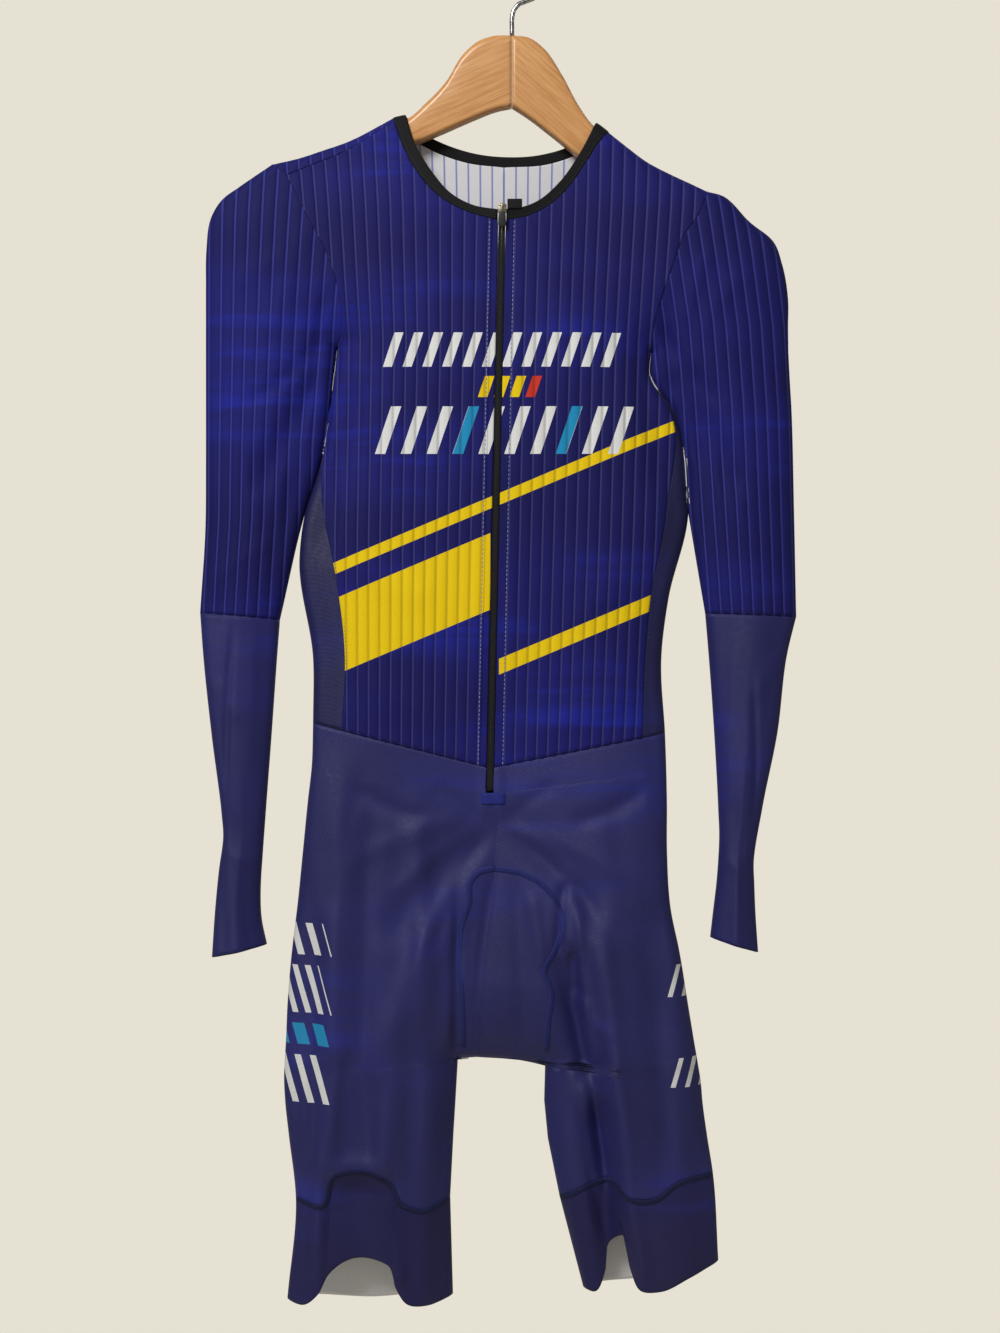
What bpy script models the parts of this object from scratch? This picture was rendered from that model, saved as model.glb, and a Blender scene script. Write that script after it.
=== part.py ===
"""A long-sleeved cycling skinsuit with short legs, hung on a wooden hanger.

The cloth is two sheets, front and back, that meet in a round fold all along the
garment's outline.  Every cut piece is a stretch of those sheets, bounded by its
seams, with a real wall.  Tables are in millimetres: x is to the viewer's right of
the hook's stem, z is up from the point where the hook hangs.  The front faces -Y.
Right and left are the wearer's, so the right side has negative x.
"""

import math

import bmesh
import bpy
import numpy as np
from mathutils import Vector

MM = 0.001

# ---------------------------------------------------------------- cloth sizes
WALL = 1.2            # thickness of the knitted cloth as built
SEAM_INSET = 0.2      # each piece stops this far short of its seam
SIDE_INSET = 0.6      # the side panels stop this far short of theirs, which bend sharply
EDGE_RADIUS = 9.0     # how far in from the outline a sheet reaches its edge depth
EDGE_DEPTH = 8.5      # half the thickness of the flat-hanging garment near a fold
BELLY_REACH = 60.0    # distance from the outline at which the belly is full
ON_OUTLINE = 0.02     # closer than this counts as lying on the outline
CROTCH_ROW = 8        # row of the leg panels at which their centre seams end
NECK_ROWS = 10        # rows of the back that end on the neck binding
OPENING_RUN = 60.0    # the outline runs on this far past a cuff or a hem
ZIP_ROWS = 2           # rows of the leg panels beside the zip's lower end
BAND_SHARES = (0.0, 0.35, 0.7, 1.0)    # rows of a leg band, seam to hem
BODY_RIBS = 19         # ribs of each front and of each half of the back
RIB_RISE = 0.5        # height of a rib over the groove beside it
ZIP_HALF = 2.9        # half the slot between the fronts
ZIP_PLAIN = 10.0      # no rib nearer than this to the zip's middle

# ------------------------------------------------------------- hanger and hook
WOOD_CLEARANCE = 0.6
WOOD_HALF = EDGE_DEPTH - WALL - WOOD_CLEARANCE
WOOD_TOP_ROUND = EDGE_RADIUS - WALL - WOOD_CLEARANCE
WOOD_LOWER_ROUND = 3.0
WOOD_TIP_THINNING = 0.8
WOOD_SINK = (0.6, 0.1)     # extra room over the wood beside the neck and beyond it
MITRE_HALF_GAP = 0.15
HOOK_WIRE_RADIUS = 1.8
HOOK_RADIUS = 23.0
WOOD_PEAK = -66.06    # top of the wood at the mitre, where the hook's stem stands

# ------------------------------------------------------------------ zip pieces
SLIDER_WIDTH = 7.0
SLIDER_HEIGHT = 8.6
SLIDER_DEPTH = 1.8
SLIDER_BOTTOM = -206.2
TAB_HINGE_UP = 0.9     # the tab's hinge above the slider's lower end
ZIP_ENDS = (-199.6, -643.8)
ZIP_PROUD = 0.4
TAB_WIDTH = 6.4
TAB_LENGTH = 10.5
TAB_THICKNESS = 1.6
PIECE_GAP = 0.3
BINDING_PROUD = 0.6


def table(names, *rows):
    """Columns of a table, by name."""
    return dict(zip(names.split(), np.array(rows, dtype=float).T))


# Half depth of each sheet's belly, added to the edge depth, by height.
BELLY = table(
    "z front back",
    (-1040, 16, 15),
    (-880, 17, 15),
    (-790, 16, 14),
    (-700, 12, 11),
    (-600, 9, 7),
    (-450, 9, 7),
    (-300, 9, 6),
    (-200, 6, 4),
    (-130, 0, 0),
)

# Distance between two ribs, by height.
RIB_PITCH = table("z pitch", (-640, 8.2), (-450, 8.6), (-300, 8.8), (-130, 9.4))

# The top fold from the neck outwards, up to the armhole.
SHOULDER = {
    "right": table(
        "x z", (-81.2, -127.2), (-91.2, -129.5), (-99.3, -134.0), (-126.2, -147.7),
        (-145.0, -154.2), (-162.6, -160.0), (-183.7, -164.9),
    ),
    "left": table(
        "x z", (64.3, -133.0), (74.3, -140.6), (88.4, -151.8), (102.5, -162.4),
        (121.3, -172.4), (137.7, -180.0), (149.4, -185.6),
    ),
}

# The front shoulder seam, from the armhole to the neck.
SHOULDER_SEAM = {
    "right": table(
        "x z", (-172.0, -175.3), (-149.7, -165.9), (-132.1, -158.9), (-116.9, -150.4),
        (-107.5, -144.4), (-90.1, -133.0),
    ),
    "left": table(
        "x z", (147.6, -191.5), (137.0, -183.6), (120.6, -175.6), (101.7, -165.6),
        (87.4, -155.0), (73.0, -143.1),
    ),
}

# How far below the top fold the first row under the front shoulder seam lies.
UNDER_SEAM = {"right": 14.0, "left": 6.0}

# The armhole seam from the top fold to the underarm, and the sleeve's outer edge
# level with each of its points.
ARMHOLE = {
    "right": table(
        "x z edge_x edge_z",
        (-183.7, -164.9, -183.7, -164.9),
        (-172.0, -175.3, -208.4, -181.7),
        (-160.1, -198.4, -223.5, -193.5),
        (-150.1, -217.5, -231.6, -209.0),
        (-141.7, -233.6, -234.0, -230.0),
        (-132.0, -263.0, -234.4, -259.0),
        (-128.7, -287.0, -234.4, -284.0),
        (-134.1, -306.4, -234.4, -306.0),
    ),
    "left": table(
        "x z edge_x edge_z",
        (149.4, -185.6, 149.4, -185.6),
        (147.6, -191.5, 160.0, -188.2),
        (140.0, -208.1, 182.3, -209.1),
        (130.6, -221.1, 199.9, -223.4),
        (123.6, -239.8, 206.8, -241.0),
        (114.5, -267.0, 211.4, -268.0),
        (107.7, -291.0, 211.4, -290.0),
        (106.5, -308.7, 211.6, -308.0),
    ),
}

# Upper sleeve below the underarm: underarm seam side and outer edge.
UPPER_SLEEVE = {
    "right": table(
        "x z edge_x edge_z",
        (-137.3, -324.0, -234.4, -325.0),
        (-148.8, -396.8, -234.4, -398.0),
        (-160.3, -434.3, -234.6, -436.0),
        (-177.7, -513.2, -238.8, -507.9),
    ),
    "left": table(
        "x z edge_x edge_z",
        (107.4, -327.0, 212.6, -328.0),
        (123.5, -350.8, 213.9, -350.0),
        (136.5, -432.0, 216.0, -432.0),
        (147.9, -508.6, 217.6, -510.9),
    ),
}

# Forearm, from the elbow seam to the cuff.
LOWER_SLEEVE = {
    "right": table(
        "x z edge_x edge_z",
        (-177.7, -513.2, -238.8, -507.9),
        (-179.6, -538.0, -236.9, -535.0),
        (-184.0, -600.0, -230.2, -600.0),
        (-188.8, -664.0, -222.4, -662.0),
        (-190.7, -690.0, -221.2, -679.5),
        (-192.4, -718.0, -224.6, -706.0),
        (-191.8, -741.0, -227.6, -738.0),
        (-187.7, -761.4, -229.8, -771.4),
    ),
    "left": table(
        "x z edge_x edge_z",
        (147.9, -508.6, 217.6, -510.9),
        (150.4, -538.0, 211.0, -538.0),
        (154.8, -600.0, 203.2, -600.0),
        (157.9, -658.0, 191.6, -658.0),
        (158.6, -684.0, 185.3, -696.0),
        (156.8, -712.0, 185.6, -716.0),
        (154.0, -736.0, 186.6, -740.0),
        (151.7, -756.0, 188.5, -767.5),
    ),
}

# The body's side fold from the underarm to the waist, and the seam of the smooth
# side panel, which lies as far in on the front as on the back.
SIDE = {
    "right": table(
        "edge_x seam_x z",
        (-134.3, -133.0, -324.0),
        (-146.0, -144.6, -396.8),
        (-156.9, -143.8, -429.0),
        (-162.8, -136.6, -466.0),
        (-152.3, -126.9, -544.0),
    ),
    "left": table(
        "edge_x seam_x z",
        (104.6, 103.3, -327.0),
        (120.4, 118.8, -352.0),
        (133.4, 117.0, -432.0),
        (119.7, 105.2, -497.9),
        (114.4, 101.0, -542.0),
    ),
}
WAIST_SIDE = {"right": (-152.4, -592.1), "left": (117.2, -599.8)}
WAIST_FRONT_DIP = -625.6   # height of the front waist seam beside the zip
WAIST_SEAM_X = {"right": -129.5, "left": 98.8}

# Leg panels, each from the centre front round the outer edge to the centre back.
# Below the crotch the centre columns are the inner leg, where the panel closes.
LEG_PANEL = {
    "right": table(
        "front_x front_z edge_x edge_z back_x back_z",
        (-16.5, WAIST_FRONT_DIP, -152.4, -592.1, -6.0, -596.3),
        (-16.9, -644.0, -153.4, -625.0, -6.0, -628.0),
        (-13.0, -656.0, -156.3, -651.0, -6.5, -656.0),
        (-13.0, -691.0, -160.1, -689.4, -7.0, -691.0),
        (-16.1, -730.0, -163.9, -727.7, -8.0, -730.0),
        (-20.5, -768.0, -169.3, -773.7, -9.0, -768.0),
        (-23.7, -806.0, -172.0, -808.0, -12.0, -806.0),
        (-26.0, -835.0, -173.2, -836.0, -24.0, -836.0),
        (-27.0, -848.0, -174.0, -849.0, -27.0, -848.0),
        (-41.4, -848.6, -174.6, -862.0, -41.4, -848.6),
        (-43.2, -880.0, -173.7, -882.0, -43.2, -880.0),
        (-44.8, -906.0, -171.0, -907.0, -44.8, -906.0),
    ),
    "left": table(
        "front_x front_z edge_x edge_z back_x back_z",
        (-16.5, WAIST_FRONT_DIP, 117.2, -599.8, -6.0, -596.3),
        (-16.9, -644.0, 118.1, -625.0, -6.0, -628.0),
        (-13.0, -656.0, 118.7, -652.0, -6.5, -656.0),
        (-13.0, -691.0, 118.8, -692.0, -7.0, -691.0),
        (-16.1, -730.0, 121.5, -734.0, -8.0, -730.0),
        (-20.5, -768.0, 128.2, -767.0, -9.0, -768.0),
        (-23.7, -806.0, 135.2, -810.0, -12.0, -806.0),
        (-26.0, -835.0, 139.8, -838.0, -24.0, -836.0),
        (-27.0, -848.0, 142.2, -852.0, -27.0, -848.0),
        (2.3, -849.6, 143.2, -858.0, 2.3, -849.6),
        (25.3, -854.1, 144.2, -864.0, 25.3, -854.1),
        (24.6, -881.0, 146.1, -884.0, 24.6, -881.0),
        (27.4, -910.0, 149.4, -908.0, 27.4, -910.0),
    ),
}

# The grip band: its seam and its hem, front and back, from the inner leg outwards.
BAND = {
    "right": {
        "seam_front": table(
            "x z", (-47.3, -954.4), (-68.2, -961.3), (-85.0, -954.4), (-91.9, -941.4),
            (-117.2, -931.5), (-135.0, -936.1), (-143.0, -958.0), (-165.6, -955.0),
        ),
        "seam_back": table("x z", (-47.3, -954.4), (-106.0, -963.0), (-165.6, -955.0)),
        "hem_front": table(
            "x z", (-45.2, -1028.7), (-63.6, -1033.3), (-79.7, -1031.0), (-88.1, -1018.8),
            (-92.9, -1003.5), (-105.7, -998.9), (-124.9, -1000.4), (-138.6, -1009.6),
            (-147.8, -1025.7), (-159.3, -1034.1), (-172.0, -1032.0),
        ),
        "hem_back": table("x z", (-45.2, -1028.7), (-106.0, -1038.0), (-172.0, -1032.0)),
    },
    "left": {
        "seam_front": table(
            "x z", (36.4, -954.4), (64.3, -941.4), (76.6, -940.0), (84.5, -949.1),
            (109.5, -951.4), (123.3, -941.4), (153.8, -936.1),
        ),
        "seam_back": table("x z", (36.4, -954.4), (96.0, -950.0), (153.8, -936.1)),
        "hem_front": table(
            "x z", (54.4, -1023.4), (63.0, -1024.9), (70.5, -1011.9), (74.5, -988.0),
            (84.0, -980.0), (89.6, -1006.0), (96.5, -1020.3), (111.8, -1021.1),
            (134.8, -1011.9), (158.0, -1002.7),
        ),
        "hem_back": table("x z", (54.4, -1023.4), (105.0, -1022.0), (158.0, -1002.7)),
    },
}

# Front of the neck binding from the zip to the neck's corner, then its back.
NECK_FRONT = {
    "right": table(
        "inner_x inner_z x z",
        (-10.9, -201.8, -10.9, -210.3),
        (-29.9, -198.4, -33.5, -204.0),
        (-46.7, -189.2, -53.0, -193.8),
        (-59.0, -175.4, -68.5, -178.5),
        (-68.5, -161.0, -79.0, -162.0),
        (-74.3, -150.1, -84.3, -150.1),
        (-81.2, -127.2, -91.2, -129.5),
    ),
    "left": table(
        "inner_x inner_z x z",
        (-4.4, -201.6, -4.4, -210.0),
        (8.4, -199.9, 11.0, -207.4),
        (20.7, -194.6, 26.4, -200.2),
        (36.0, -180.8, 42.6, -185.4),
        (49.0, -162.4, 57.2, -164.4),
        (57.6, -147.0, 66.4, -150.0),
        (64.3, -133.0, 74.3, -140.6),
    ),
}
NECK_BACK = table(
    "inner_x inner_z x z",
    (-68.0, -138.6, -76.0, -143.6),
    (-53.6, -146.0, -60.0, -152.6),
    (-29.9, -153.6, -34.0, -161.4),
    (-6.0, -156.4, -6.0, -164.6),
    (24.0, -154.4, 28.0, -162.2),
    (44.0, -148.4, 50.0, -155.0),
    (56.0, -141.6, 62.6, -148.4),
)

# Largest folds: a soft ridge (or trough, if the height is negative) along a line.
FOLDS = table(
    "side x0 z0 x1 z1 half_width height",
    (-1, -116, -330, -148, -470, 9, -3.0),
    (-1, 98, -300, 116, -420, 9, -3.0),
    (-1, -150, -330, -196, -420, 10, -3.5),
    (-1, 122, -320, 176, -420, 10, -3.5),
    (-1, -232, -655, -188, -690, 12, -2.0),
    (-1, 182, -690, 160, -655, 12, -2.0),
    (-1, -20, -660, -100, -760, 14, -3.0),
    (-1, -6, -660, 70, -740, 14, -3.0),
    (-1, -22, -700, -120, -870, 14, 3.0),
    (-1, 40, -760, 62, -870, 13, -8.0),
    (-1, 62, -870, 79, -1040, 12, -15.0),
    (-1, -118, -930, -116, -1040, 24, -14.0),
    (-1, -134, -840, -126, -930, 16, -6.0),
    (1, -110, -330, -140, -480, 10, -3.0),
    (1, 90, -310, 112, -450, 10, -3.0),
    (1, -60, -640, -110, -800, 16, -3.5),
    (1, 30, -640, 80, -800, 16, -3.5),
    (1, -6, -700, -20, -840, 14, -4.0),
    (1, -110, -900, -108, -1040, 20, -4.0),
    (1, 92, -900, 104, -1030, 20, -4.0),
    (1, -196, -655, -226, -700, 12, -2.0),
    (1, 160, -650, 184, -700, 12, -2.0),
)

# Stitched outline of the seat pad on the front of the shorts, by rows of the leg
# panels: how far it reaches to each side.
PAD = table(
    "row right left",
    (3.06, -24.0, 2.0),
    (3.3, -31.0, 21.5),
    (3.65, -33.0, 33.0),
    (4.1, -38.5, 37.0),
    (4.6, -39.0, 35.0),
    (5.0, -38.0, 28.0),
    (5.5, -38.0, 28.0),
    (6.0, -37.0, 29.0),
    (6.5, -36.0, 26.0),
    (6.9, -33.0, 22.0),
)
PAD_COLUMNS = 6        # columns of a leg panel that the pad may reach
PAD_THICKNESS = 4.0
PAD_GAP = 0.9          # the pad lies this far behind the cloth

# Wooden arms: top and lower outline from the mitre to the tip.  Past the neck the
# top follows the shoulder's fold, inside the cloth.
WOOD_NECK = {
    "right": table(
        "x top lower",
        (0.0, -65.9, -121.0), (-12.3, -66.0, -123.6), (-25.3, -69.9, -128.6),
        (-37.5, -80.4, -133.8), (-50.6, -101.4, -139.6), (-65.9, -117.6, -146.2),
        (-80.5, -129.6, -152.6),
    ),
    "left": table(
        "x top lower",
        (0.0, -65.9, -121.0), (13.0, -67.6, -129.4), (26.0, -77.4, -139.4),
        (38.3, -95.8, -149.2), (51.3, -119.8, -159.6),
        (63.0, -135.4, -165.5),
    ),
}
WOOD_HEIGHT = table("at height", (0, 29.0), (2, 28.0), (5, 26.0), (6, 24.0), (8, 19.0))


# ---------------------------------------------------------------- point helpers
def at_z(columns, name, z):
    """Value of a column at height z, for a table that runs down or up."""
    order = np.argsort(columns["z"])
    return np.interp(z, columns["z"][order], columns[name][order])


def along(columns, index, x_name="x", z_name="z"):
    """Point at a fractional row of a table."""
    rows = np.arange(len(columns[x_name]))
    return (float(np.interp(index, rows, columns[x_name])),
            float(np.interp(index, rows, columns[z_name])))


def points(columns, x_name="x", z_name="z"):
    return list(zip(columns[x_name].tolist(), columns[z_name].tolist()))


def zip_x(z):
    """Middle of the zip, which leans a little."""
    return np.interp(z, (-644.0, -199.0), (-16.9, -7.4))


def waist_front_z(x, side):
    """Height of the front waist seam, straight from the side to the zip."""
    side_x, side_z = WAIST_SIDE[side]
    share = (x - side_x) / (LEG_PANEL[side]["front_x"][0] - side_x)
    return side_z + share * (WAIST_FRONT_DIP - side_z)


def waist_back_z(x):
    """Height of the back waist seam, straight from side to side."""
    (x0, z0), (x1, z1) = WAIST_SIDE["right"], WAIST_SIDE["left"]
    return z0 + (x - x0) / (x1 - x0) * (z1 - z0)


def run_on(outer, inner, before_outer, before_inner):
    """Two points past an opening, each in line with its own edge."""
    result = []
    for end, before in ((outer, before_outer), (inner, before_inner)):
        step = Vector(end) - Vector(before)
        result.append(tuple(Vector(end) + step.normalized() * OPENING_RUN))
    return result


def side_outline(side):
    """Outline of one side, from the neck's corner to the crotch."""
    sleeve = points(ARMHOLE[side], "edge_x", "edge_z")[1:]
    sleeve += points(UPPER_SLEEVE[side], "edge_x", "edge_z")
    sleeve += points(LOWER_SLEEVE[side], "edge_x", "edge_z")[1:]
    inside = points(UPPER_SLEEVE[side]) + points(LOWER_SLEEVE[side])[1:]
    body = points(SIDE[side], "edge_x")
    body += points(LEG_PANEL[side], "edge_x", "edge_z")
    body += [points(BAND[side]["seam_back"])[-1], points(BAND[side]["hem_back"])[-1]]
    inner_leg = points(LEG_PANEL[side], "front_x", "front_z")[CROTCH_ROW + 1:]
    leg = inner_leg + [points(BAND[side]["seam_back"])[0], points(BAND[side]["hem_back"])[0]]
    path = points(SHOULDER[side]) + sleeve
    path += run_on(sleeve[-1], inside[-1], sleeve[-2], inside[-2])
    path += inside[::-1] + points(ARMHOLE[side])[-1:] + body
    path += run_on(body[-1], leg[-1], body[-2], leg[-2])
    return path + leg[::-1]


# Over the open neck the outline rises well clear of the cloth.
NECK_RISE = [(-60.0, -96.0), (44.0, -102.0)]


def garment_outline():
    crotch = points(LEG_PANEL["right"], "front_x", "front_z")[CROTCH_ROW]
    around = side_outline("right") + [crotch] + side_outline("left")[::-1]
    return np.array(around + NECK_RISE[::-1])


OUTLINE = garment_outline()


def outline_distance(x, z):
    """Distance inside the garment's outline, negative outside it."""
    here = np.stack([np.ravel(x), np.ravel(z)], axis=1)[:, None, :]
    start = OUTLINE[None]
    run = np.roll(OUTLINE, -1, axis=0)[None] - start
    length = np.maximum((run ** 2).sum(axis=2), 1e-9)
    share = np.clip(((here - start) * run).sum(axis=2) / length, 0.0, 1.0)
    offset = here - start - share[..., None] * run
    distance = np.sqrt((offset ** 2).sum(axis=2)).min(axis=1)
    above = (start[..., 1] > here[..., 1]) != (start[..., 1] + run[..., 1] > here[..., 1])
    rise = np.where(np.abs(run[..., 1]) < 1e-9, 1e-9, run[..., 1])
    cross_x = start[..., 0] + (here[..., 1] - start[..., 1]) / rise * run[..., 0]
    inside = (above & (here[..., 0] < cross_x)).sum(axis=1) % 2 == 1
    return np.where(inside, distance, -distance).reshape(np.shape(x))


def inward(x, z, step=0.6):
    """Direction, in the front view, that leads away from the outline."""
    dx = outline_distance(x + step, z) - outline_distance(x - step, z)
    dz = outline_distance(x, z + step) - outline_distance(x, z - step)
    length = np.maximum(np.hypot(dx, dz), 1e-6)
    return dx / length, dz / length


def fold_depth(x, z, side):
    """Outward height of the largest folds: soft ridges that fade at both ends."""
    total = np.zeros(np.shape(x))
    for k in range(len(FOLDS["side"])):
        x0, z0, x1, z1 = (FOLDS[name][k] for name in ("x0", "z0", "x1", "z1"))
        length2 = (x1 - x0) ** 2 + (z1 - z0) ** 2
        share = ((x - x0) * (x1 - x0) + (z - z0) * (z1 - z0)) / length2
        across = np.abs((x - x0) * (z1 - z0) - (z - z0) * (x1 - x0)) / math.sqrt(length2)
        end = np.clip(np.minimum(share, 1.0 - share) * 4.0 + 0.25, 0.0, 1.0)
        bump = np.exp(-(across / FOLDS["half_width"][k]) ** 2) * end
        total = total + np.where(side == FOLDS["side"][k], bump, 0.0) * FOLDS["height"][k]
    return total


def cloth(x, z, side, lift):
    """Point of a sheet in metres.  side is -1 for the front and 1 for the back.

    The sheet rises from the outline as a quarter ellipse, then swells as a belly.
    lift moves the point out of the cloth's base surface, or into the hollow.
    """
    inside = outline_distance(x, z)
    inside = np.where(inside < ON_OUTLINE, 0.0, inside)
    to_flat = np.clip(1.0 - inside / EDGE_RADIUS, 0.0, 1.0)
    round_edge = np.sqrt(1.0 - to_flat ** 2)
    reach = np.clip(inside / BELLY_REACH, 0.0, 1.0)
    swell = reach * (2.0 - reach)
    belly = np.where(side < 0, at_z(BELLY, "front", z), at_z(BELLY, "back", z))
    depth = (EDGE_DEPTH + lift) * round_edge + belly * swell
    depth = depth + fold_depth(x, z, side) * np.minimum(inside / 25.0, 1.0)
    dir_x, dir_z = inward(x, z)
    y = side * depth
    point = np.stack([x - lift * to_flat * dir_x, y, z - lift * to_flat * dir_z], axis=-1)
    return point * MM


# ----------------------------------------------------------------- solid makers
def material(name, colour, roughness, metallic=0.0):
    found = bpy.data.materials.get(name)
    if found:
        return found
    made = bpy.data.materials.new(name)
    made.use_nodes = True
    shader = made.node_tree.nodes["Principled BSDF"]
    shader.inputs["Base Color"].default_value = (*colour, 1.0)
    shader.inputs["Roughness"].default_value = roughness
    shader.inputs["Metallic"].default_value = metallic
    return made


def finish(name, mesh_maker, finish_material):
    """Turn a bmesh into a named object with outward faces."""
    bmesh.ops.recalc_face_normals(mesh_maker, faces=mesh_maker.faces)
    mesh = bpy.data.meshes.new(name)
    mesh_maker.to_mesh(mesh)
    mesh_maker.free()
    mesh.materials.append(finish_material)
    made = bpy.data.objects.new(name, mesh)
    bpy.context.scene.collection.objects.link(made)
    return made


class Wall:
    """A cloth wall gathered from grids whose shared points are joined."""

    def __init__(self):
        self.bm = bmesh.new()
        self.found = {}
        self.crests = set()

    def corner(self, outer, inner, crest):
        """The outer and inner vertex at one grid point."""
        key = tuple(int(round(value / (0.01 * MM) + 0.31)) for value in inner)
        if key not in self.found:
            pair = (self.bm.verts.new(outer), self.bm.verts.new(inner))
            self.found[key] = pair
            if crest:
                self.crests.add(pair)
        return self.found[key]

    def grid(self, x, z, side, crest, lift, under):
        """Add a stretch of cloth: rows by columns of front-view points."""
        clamped = np.zeros(x.shape, bool)
        clamped[:, 1:] |= np.hypot(np.diff(x, axis=1), np.diff(z, axis=1)) < 1e-6
        clamped[:, :-1] |= clamped[:, 1:]
        crest = np.logical_and(crest, ~clamped)
        rise = np.where(crest, RIB_RISE, 0.0)
        self.quads(cloth(x, z, side, lift + rise), cloth(x, z, side, under), crest)

    def quads(self, outer, inner, crest):
        """Add a stretch of wall between two grids of points."""
        rows, columns = outer.shape[:2]
        pairs = [[self.corner(outer[i, j], inner[i, j], crest[i, j])
                  for j in range(columns)] for i in range(rows)]
        for i in range(rows - 1):
            for j in range(columns - 1):
                cell = (pairs[i][j], pairs[i][j + 1], pairs[i + 1][j + 1], pairs[i + 1][j])
                unique = list(dict.fromkeys(cell))
                if len(unique) >= 3:
                    self.bm.faces.new([pair[0] for pair in unique])
                    self.bm.faces.new([pair[1] for pair in reversed(unique)])

    def close(self):
        """Join the outer and the inner face along every open edge."""
        inner_of = {pair[0]: pair[1] for pair in self.found.values()}
        open_edges = [edge for edge in self.bm.edges
                      if len(edge.link_faces) == 1 and edge.verts[0] in inner_of]
        for edge in open_edges:
            a, b = edge.verts
            self.bm.faces.new((a, b, inner_of[b], inner_of[a]))

    def plain_inside(self):
        """Take the ribs' crests out of the inner face."""
        inner = {pair[1] for pair in self.crests}
        both = inner | {pair[0] for pair in self.crests}
        spare = [edge for edge in self.bm.edges
                 if (edge.verts[0] in inner or edge.verts[1] in inner)
                 and edge.verts[0] in both and edge.verts[1] in both]
        bmesh.ops.dissolve_edges(self.bm, edges=spare, use_verts=True)

    def make(self, name, finish_material):
        self.close()
        if self.crests:
            self.plain_inside()
        loose = [vert for vert in self.bm.verts if not vert.link_faces]
        bmesh.ops.delete(self.bm, geom=loose, context="VERTS")
        return finish(name, self.bm, finish_material)


def row_points(path, xs):
    """A row of front-view points: xs held within the path's ends, on the path."""
    px = np.array([point[0] for point in path])
    pz = np.array([point[1] for point in path])
    order = np.argsort(px)
    held = np.clip(xs, px.min(), px.max())
    return held, np.interp(held, px[order], pz[order])


def inset(path, start=SEAM_INSET, end=SEAM_INSET):
    """Shorten a row's path at its two ends."""
    path = [Vector(point) for point in path]
    out = list(path)
    if start:
        out[0] = path[0] + (path[1] - path[0]).normalized() * start
    if end:
        out[-1] = path[-1] + (path[-2] - path[-1]).normalized() * end
    return [tuple(point) for point in out]


def shifted(path, dz):
    return [(x, z + dz) for x, z in path]


def between(path, other, share, steps=12):
    """A row part of the way from one path to another, point by point."""
    result = []
    for at in np.linspace(0.0, 1.0, steps + 1):
        ends = []
        for line in (path, other):
            x = line[0][0] + at * (line[-1][0] - line[0][0])
            held, z = row_points(line, np.array([x]))
            ends.append((held[0], z[0]))
        (x0, z0), (x1, z1) = ends
        result.append((x0 + share * (x1 - x0), z0 + share * (z1 - z0)))
    return result


def fold_row(side, distance, hole_at, neck_end):
    """A row that keeps its distance from the top fold, armhole to neck."""
    path = [along(ARMHOLE[side], hole_at)]
    for x, z in points(SHOULDER[side])[-2:1:-1]:
        dir_x, dir_z = inward(np.array(x), np.array(z), 3.0)
        path.append((x + distance * float(dir_x), z + distance * float(dir_z)))
    return path + [neck_end]


def stack_rows(rows):
    """Rows of (x, z) arrays as two grids."""
    return np.array([row[0] for row in rows]), np.array([row[1] for row in rows])


def edge_fractions(count, ends=3):
    """Shares of a row's width: close together at its folds, even between them."""
    near = np.array([0.0, 0.012, 0.045])[:ends]
    middle = np.linspace(0.1, 0.9, count)
    return np.concatenate([near, middle, 1.0 - near[::-1]])


# ------------------------------------------------------------------- the bodice
def rib_offsets(count):
    """Groove and crest columns in rib pitches from where the ribs begin."""
    return np.arange(0, 2 * count + 1) / 2.0


def body_rows(side):
    """Fronts: each row's path from the armhole or side seam to the neck or zip."""
    sign = -1.0 if side == "right" else 1.0
    hole, neck = ARMHOLE[side], NECK_FRONT[side]
    rows = [points(SHOULDER_SEAM[side])]
    rows.append(fold_row(side, UNDER_SEAM[side], 1.25, along(neck, 5.6)))
    for hole_at, neck_at in ((1.5, 5.0), (2.0, 4.0), (2.5, 3.0), (3.0, 2.0), (3.5, 1.0), (4.0, 0.0)):
        rows.append([along(hole, hole_at), along(neck, neck_at)])
    for hole_at, z in ((5.0, -246.0), (6.0, -280.0), (7.0, -307.0)):
        rows.append([along(hole, hole_at), (zip_x(z) + sign * ZIP_HALF, z)])
    for k, z in enumerate(SIDE[side]["z"]):
        rows.append([(SIDE[side]["seam_x"][k], z), (zip_x(z) + sign * ZIP_HALF, z)])
    seam_x = WAIST_SEAM_X[side]
    end_x = zip_x(WAIST_FRONT_DIP) + sign * ZIP_HALF
    rows.append([(seam_x, waist_front_z(seam_x, side)), (end_x, waist_front_z(end_x, side))])
    return rows


def front_panel(side):
    sign = -1.0 if side == "right" else 1.0
    wall = Wall()
    rows = [inset(row) for row in body_rows(side)]
    rows[0] = shifted(rows[0], -SEAM_INSET)
    rows[-1] = shifted(rows[-1], SEAM_INSET)
    offsets = rib_offsets(BODY_RIBS)
    placed = []
    for row in rows:
        middle_z = 0.5 * (row[0][1] + row[-1][1])
        pitch = at_z(RIB_PITCH, "pitch", middle_z)
        start = zip_x(middle_z) + sign * ZIP_PLAIN
        xs = np.concatenate([[row[-1][0]], start + sign * offsets * pitch])
        placed.append(row_points(row, xs))
    x, z = stack_rows(placed)
    crest = np.concatenate([[False], offsets % 1.0 != 0.0])[None, :]
    wall.grid(x, z, np.full(x.shape, -1.0), crest, 0.0, -WALL)
    return wall.make(f"front_panel_{side}", material("ribbed_cloth", (0.02, 0.02, 0.16), 0.62))


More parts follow.
